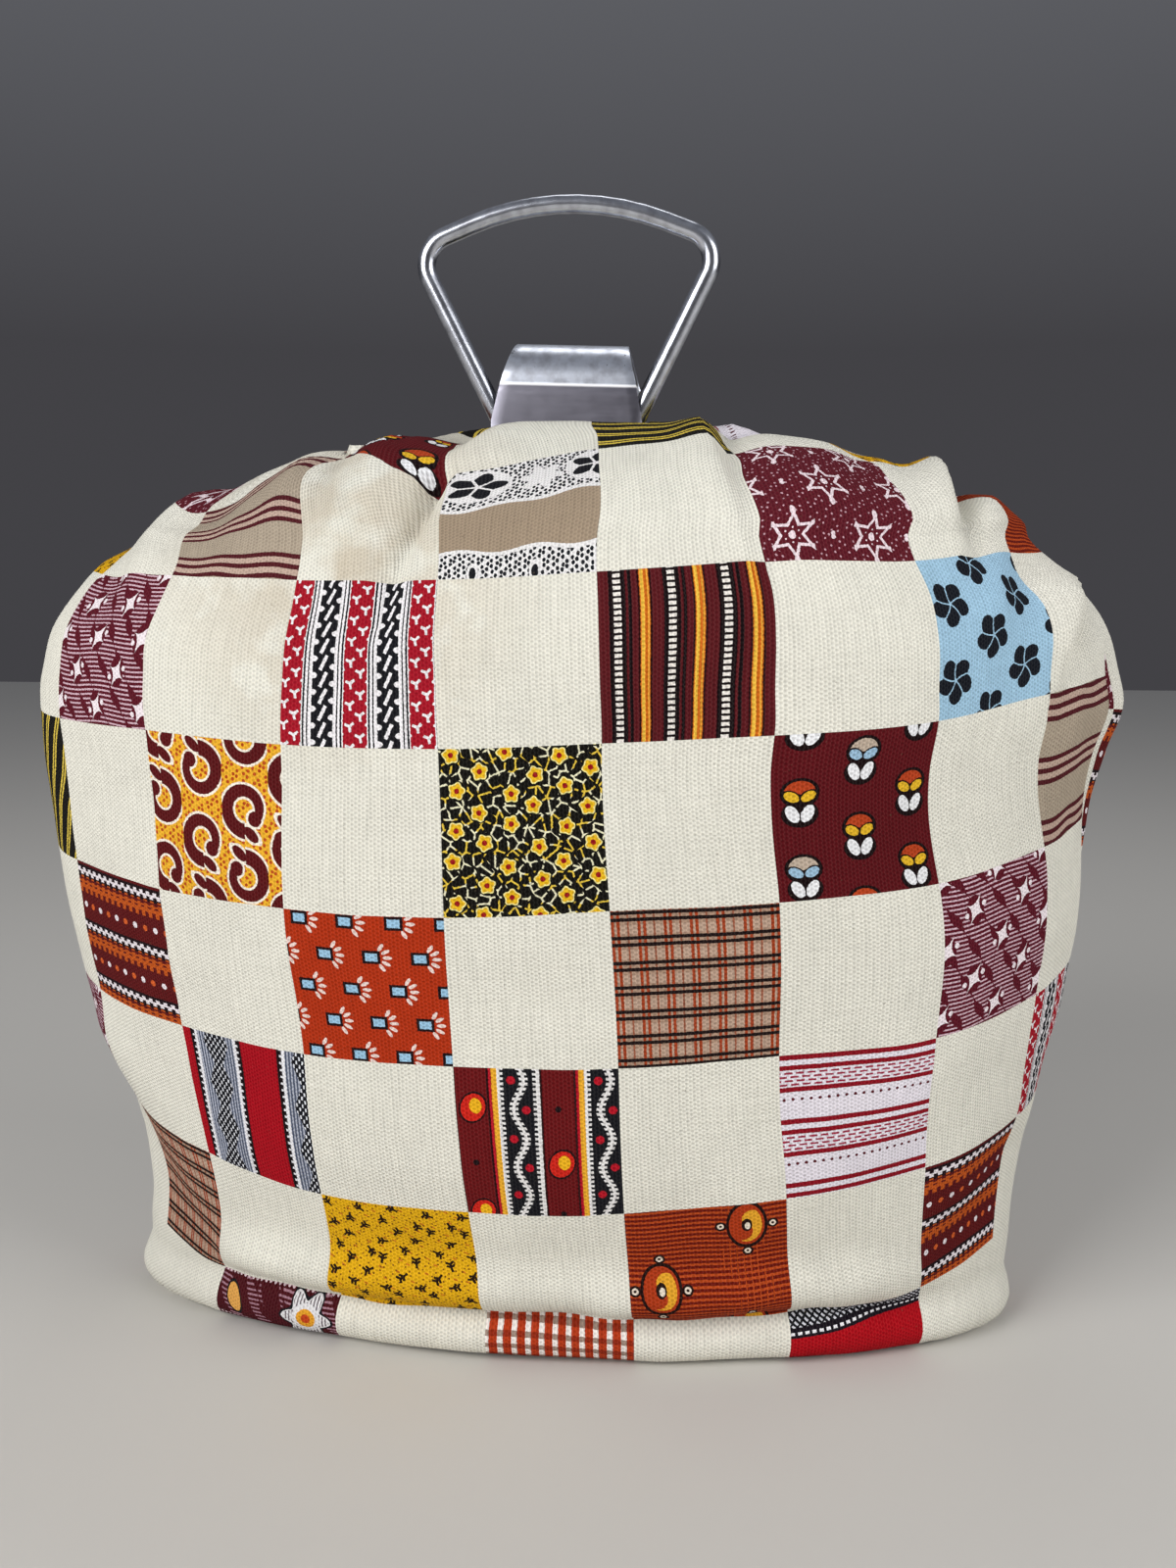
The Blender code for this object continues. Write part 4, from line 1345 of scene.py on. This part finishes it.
def rounded_loop(corners, arc_step):
    """Points of a closed line whose corners are arcs."""
    points = []
    for k, (x, z, radius) in enumerate(corners):
        here = Vector((x, z))
        to_last = (Vector(corners[k - 1][:2]) - here).normalized()
        to_next = (Vector(corners[(k + 1) % len(corners)][:2]) - here).normalized()
        half_inside = to_last.angle(to_next) / 2
        middle = here + (to_last + to_next).normalized() * (radius / math.sin(half_inside))
        start = here + to_last * (radius / math.tan(half_inside)) - middle
        turn = math.pi - 2 * half_inside
        steps = max(2, math.ceil(turn / arc_step))
        for step in range(steps + 1):
            c, s = math.cos(turn * step / steps), math.sin(turn * step / steps)
            points.append(middle + Vector((start.x * c - start.y * s, start.x * s + start.y * c)))
    return points


line = bpy.data.curves.new("handle_line", "CURVE")
line.dimensions = "3D"
line.bevel_depth = WIRE_RADIUS * MM
line.bevel_resolution = 6
spline = line.splines.new("POLY")
loop_points = rounded_loop(WIRE_CORNERS, math.radians(5))
spline.points.add(len(loop_points) - 1)
wire_depth = -(LEG_DEPTH - STRIP_THICK - WIRE_PLAY - WIRE_RADIUS)
for point, (x, z) in zip(spline.points, loop_points):
    point.co = ((STEEL_X + x) * MM, wire_depth * MM, z * MM, 1.0)
spline.use_cyclic_u = True
swept = placed("handle_line", line)
bpy.context.view_layer.update()
shown = swept.evaluated_get(bpy.context.evaluated_depsgraph_get())
bm = bmesh.new()
bm.from_mesh(bpy.data.meshes.new_from_object(shown))
bpy.data.objects.remove(swept)
bmesh.ops.remove_doubles(bm, verts=bm.verts, dist=0.001 * MM)
bmesh.ops.recalc_face_normals(bm, faces=bm.faces)
handle_wire = new_piece("handle_wire", bm, [drawn_wire])
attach(handle_wire, "root")
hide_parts("wire_handle")
print("handle points:", len(loop_points))

# %% [markdown]
# ## Floor
# The cosy stands on a plain pale floor, matt so that it mirrors nothing.

# %% Floor
bm = bmesh.new()
bmesh.ops.create_grid(bm, x_segments=1, y_segments=1, size=2.5)
floor_material, _, floor_shader = new_material("floor_pale")
set_inputs(floor_shader, {"Base Color": "#C9C6C0", "Roughness": 0.8})
floor = new_piece("floor", bm, [floor_material])
print("floor:", floor.dimensions.x, "m")

# %% [markdown]
# ## Light
# The photo's light is soft and comes mostly from the left. So there is one large light in front
# and above on the left and a weaker one on the right, and a small one above and behind gives
# the steel's bend its highlight. The sky is a dim grey that grows paler overhead, which the
# steel mirrors as a dull leg and a paler top.

# %% Studio
WINDOW_WATTS, FILL_WATTS, TOP_WATTS = 20.6, 12.0, 1.8
SKY_LOW, SKY_HIGH, SKY_STRENGTH = "#77767C", "#D4D8E2", 0.3
SKY_RISE, SKY_START = 1.8, 0.25  # how fast, and from where, the sky grows paler


def soft_light(name, place, target, size, watts):
    """A rectangle of light, turned to a target. Places and sizes are in metres."""
    light = placed(name, bpy.data.lights.new(name, "AREA"))
    light.data.shape = "RECTANGLE"
    light.data.size, light.data.size_y = size
    light.data.energy = watts
    light.location = place
    light.rotation_euler = (Vector(target) - Vector(place)).to_track_quat("-Z", "Y").to_euler()


soft_light("window", (-0.9, -1.1, 0.8), (0.0, 0.0, 0.15), (0.9, 0.8), WINDOW_WATTS)
soft_light("fill", (1.2, -0.6, 0.7), (0.0, 0.0, 0.15), (0.9, 0.9), FILL_WATTS)
soft_light("top", (0.05, 0.5, 1.4), (0.0, 0.0, 0.2), (0.6, 0.3), TOP_WATTS)
world = bpy.data.worlds.new("sky")
world.use_nodes = True
sky_tree = world.node_tree
direction = add(sky_tree, "ShaderNodeTexCoord", {}, {}).outputs["Generated"]
parts = add(sky_tree, "ShaderNodeSeparateXYZ", {}, {0: direction})
raised = (Number(parts.outputs[2]) * SKY_RISE - SKY_START) & 1.0
glow = laid(sky_tree, raised | 0.0, SKY_LOW, SKY_HIGH)
set_inputs(sky_tree.nodes["Background"], {"Color": glow, "Strength": SKY_STRENGTH})
bpy.context.scene.world = world
bpy.context.scene.view_settings.view_transform = "Standard"
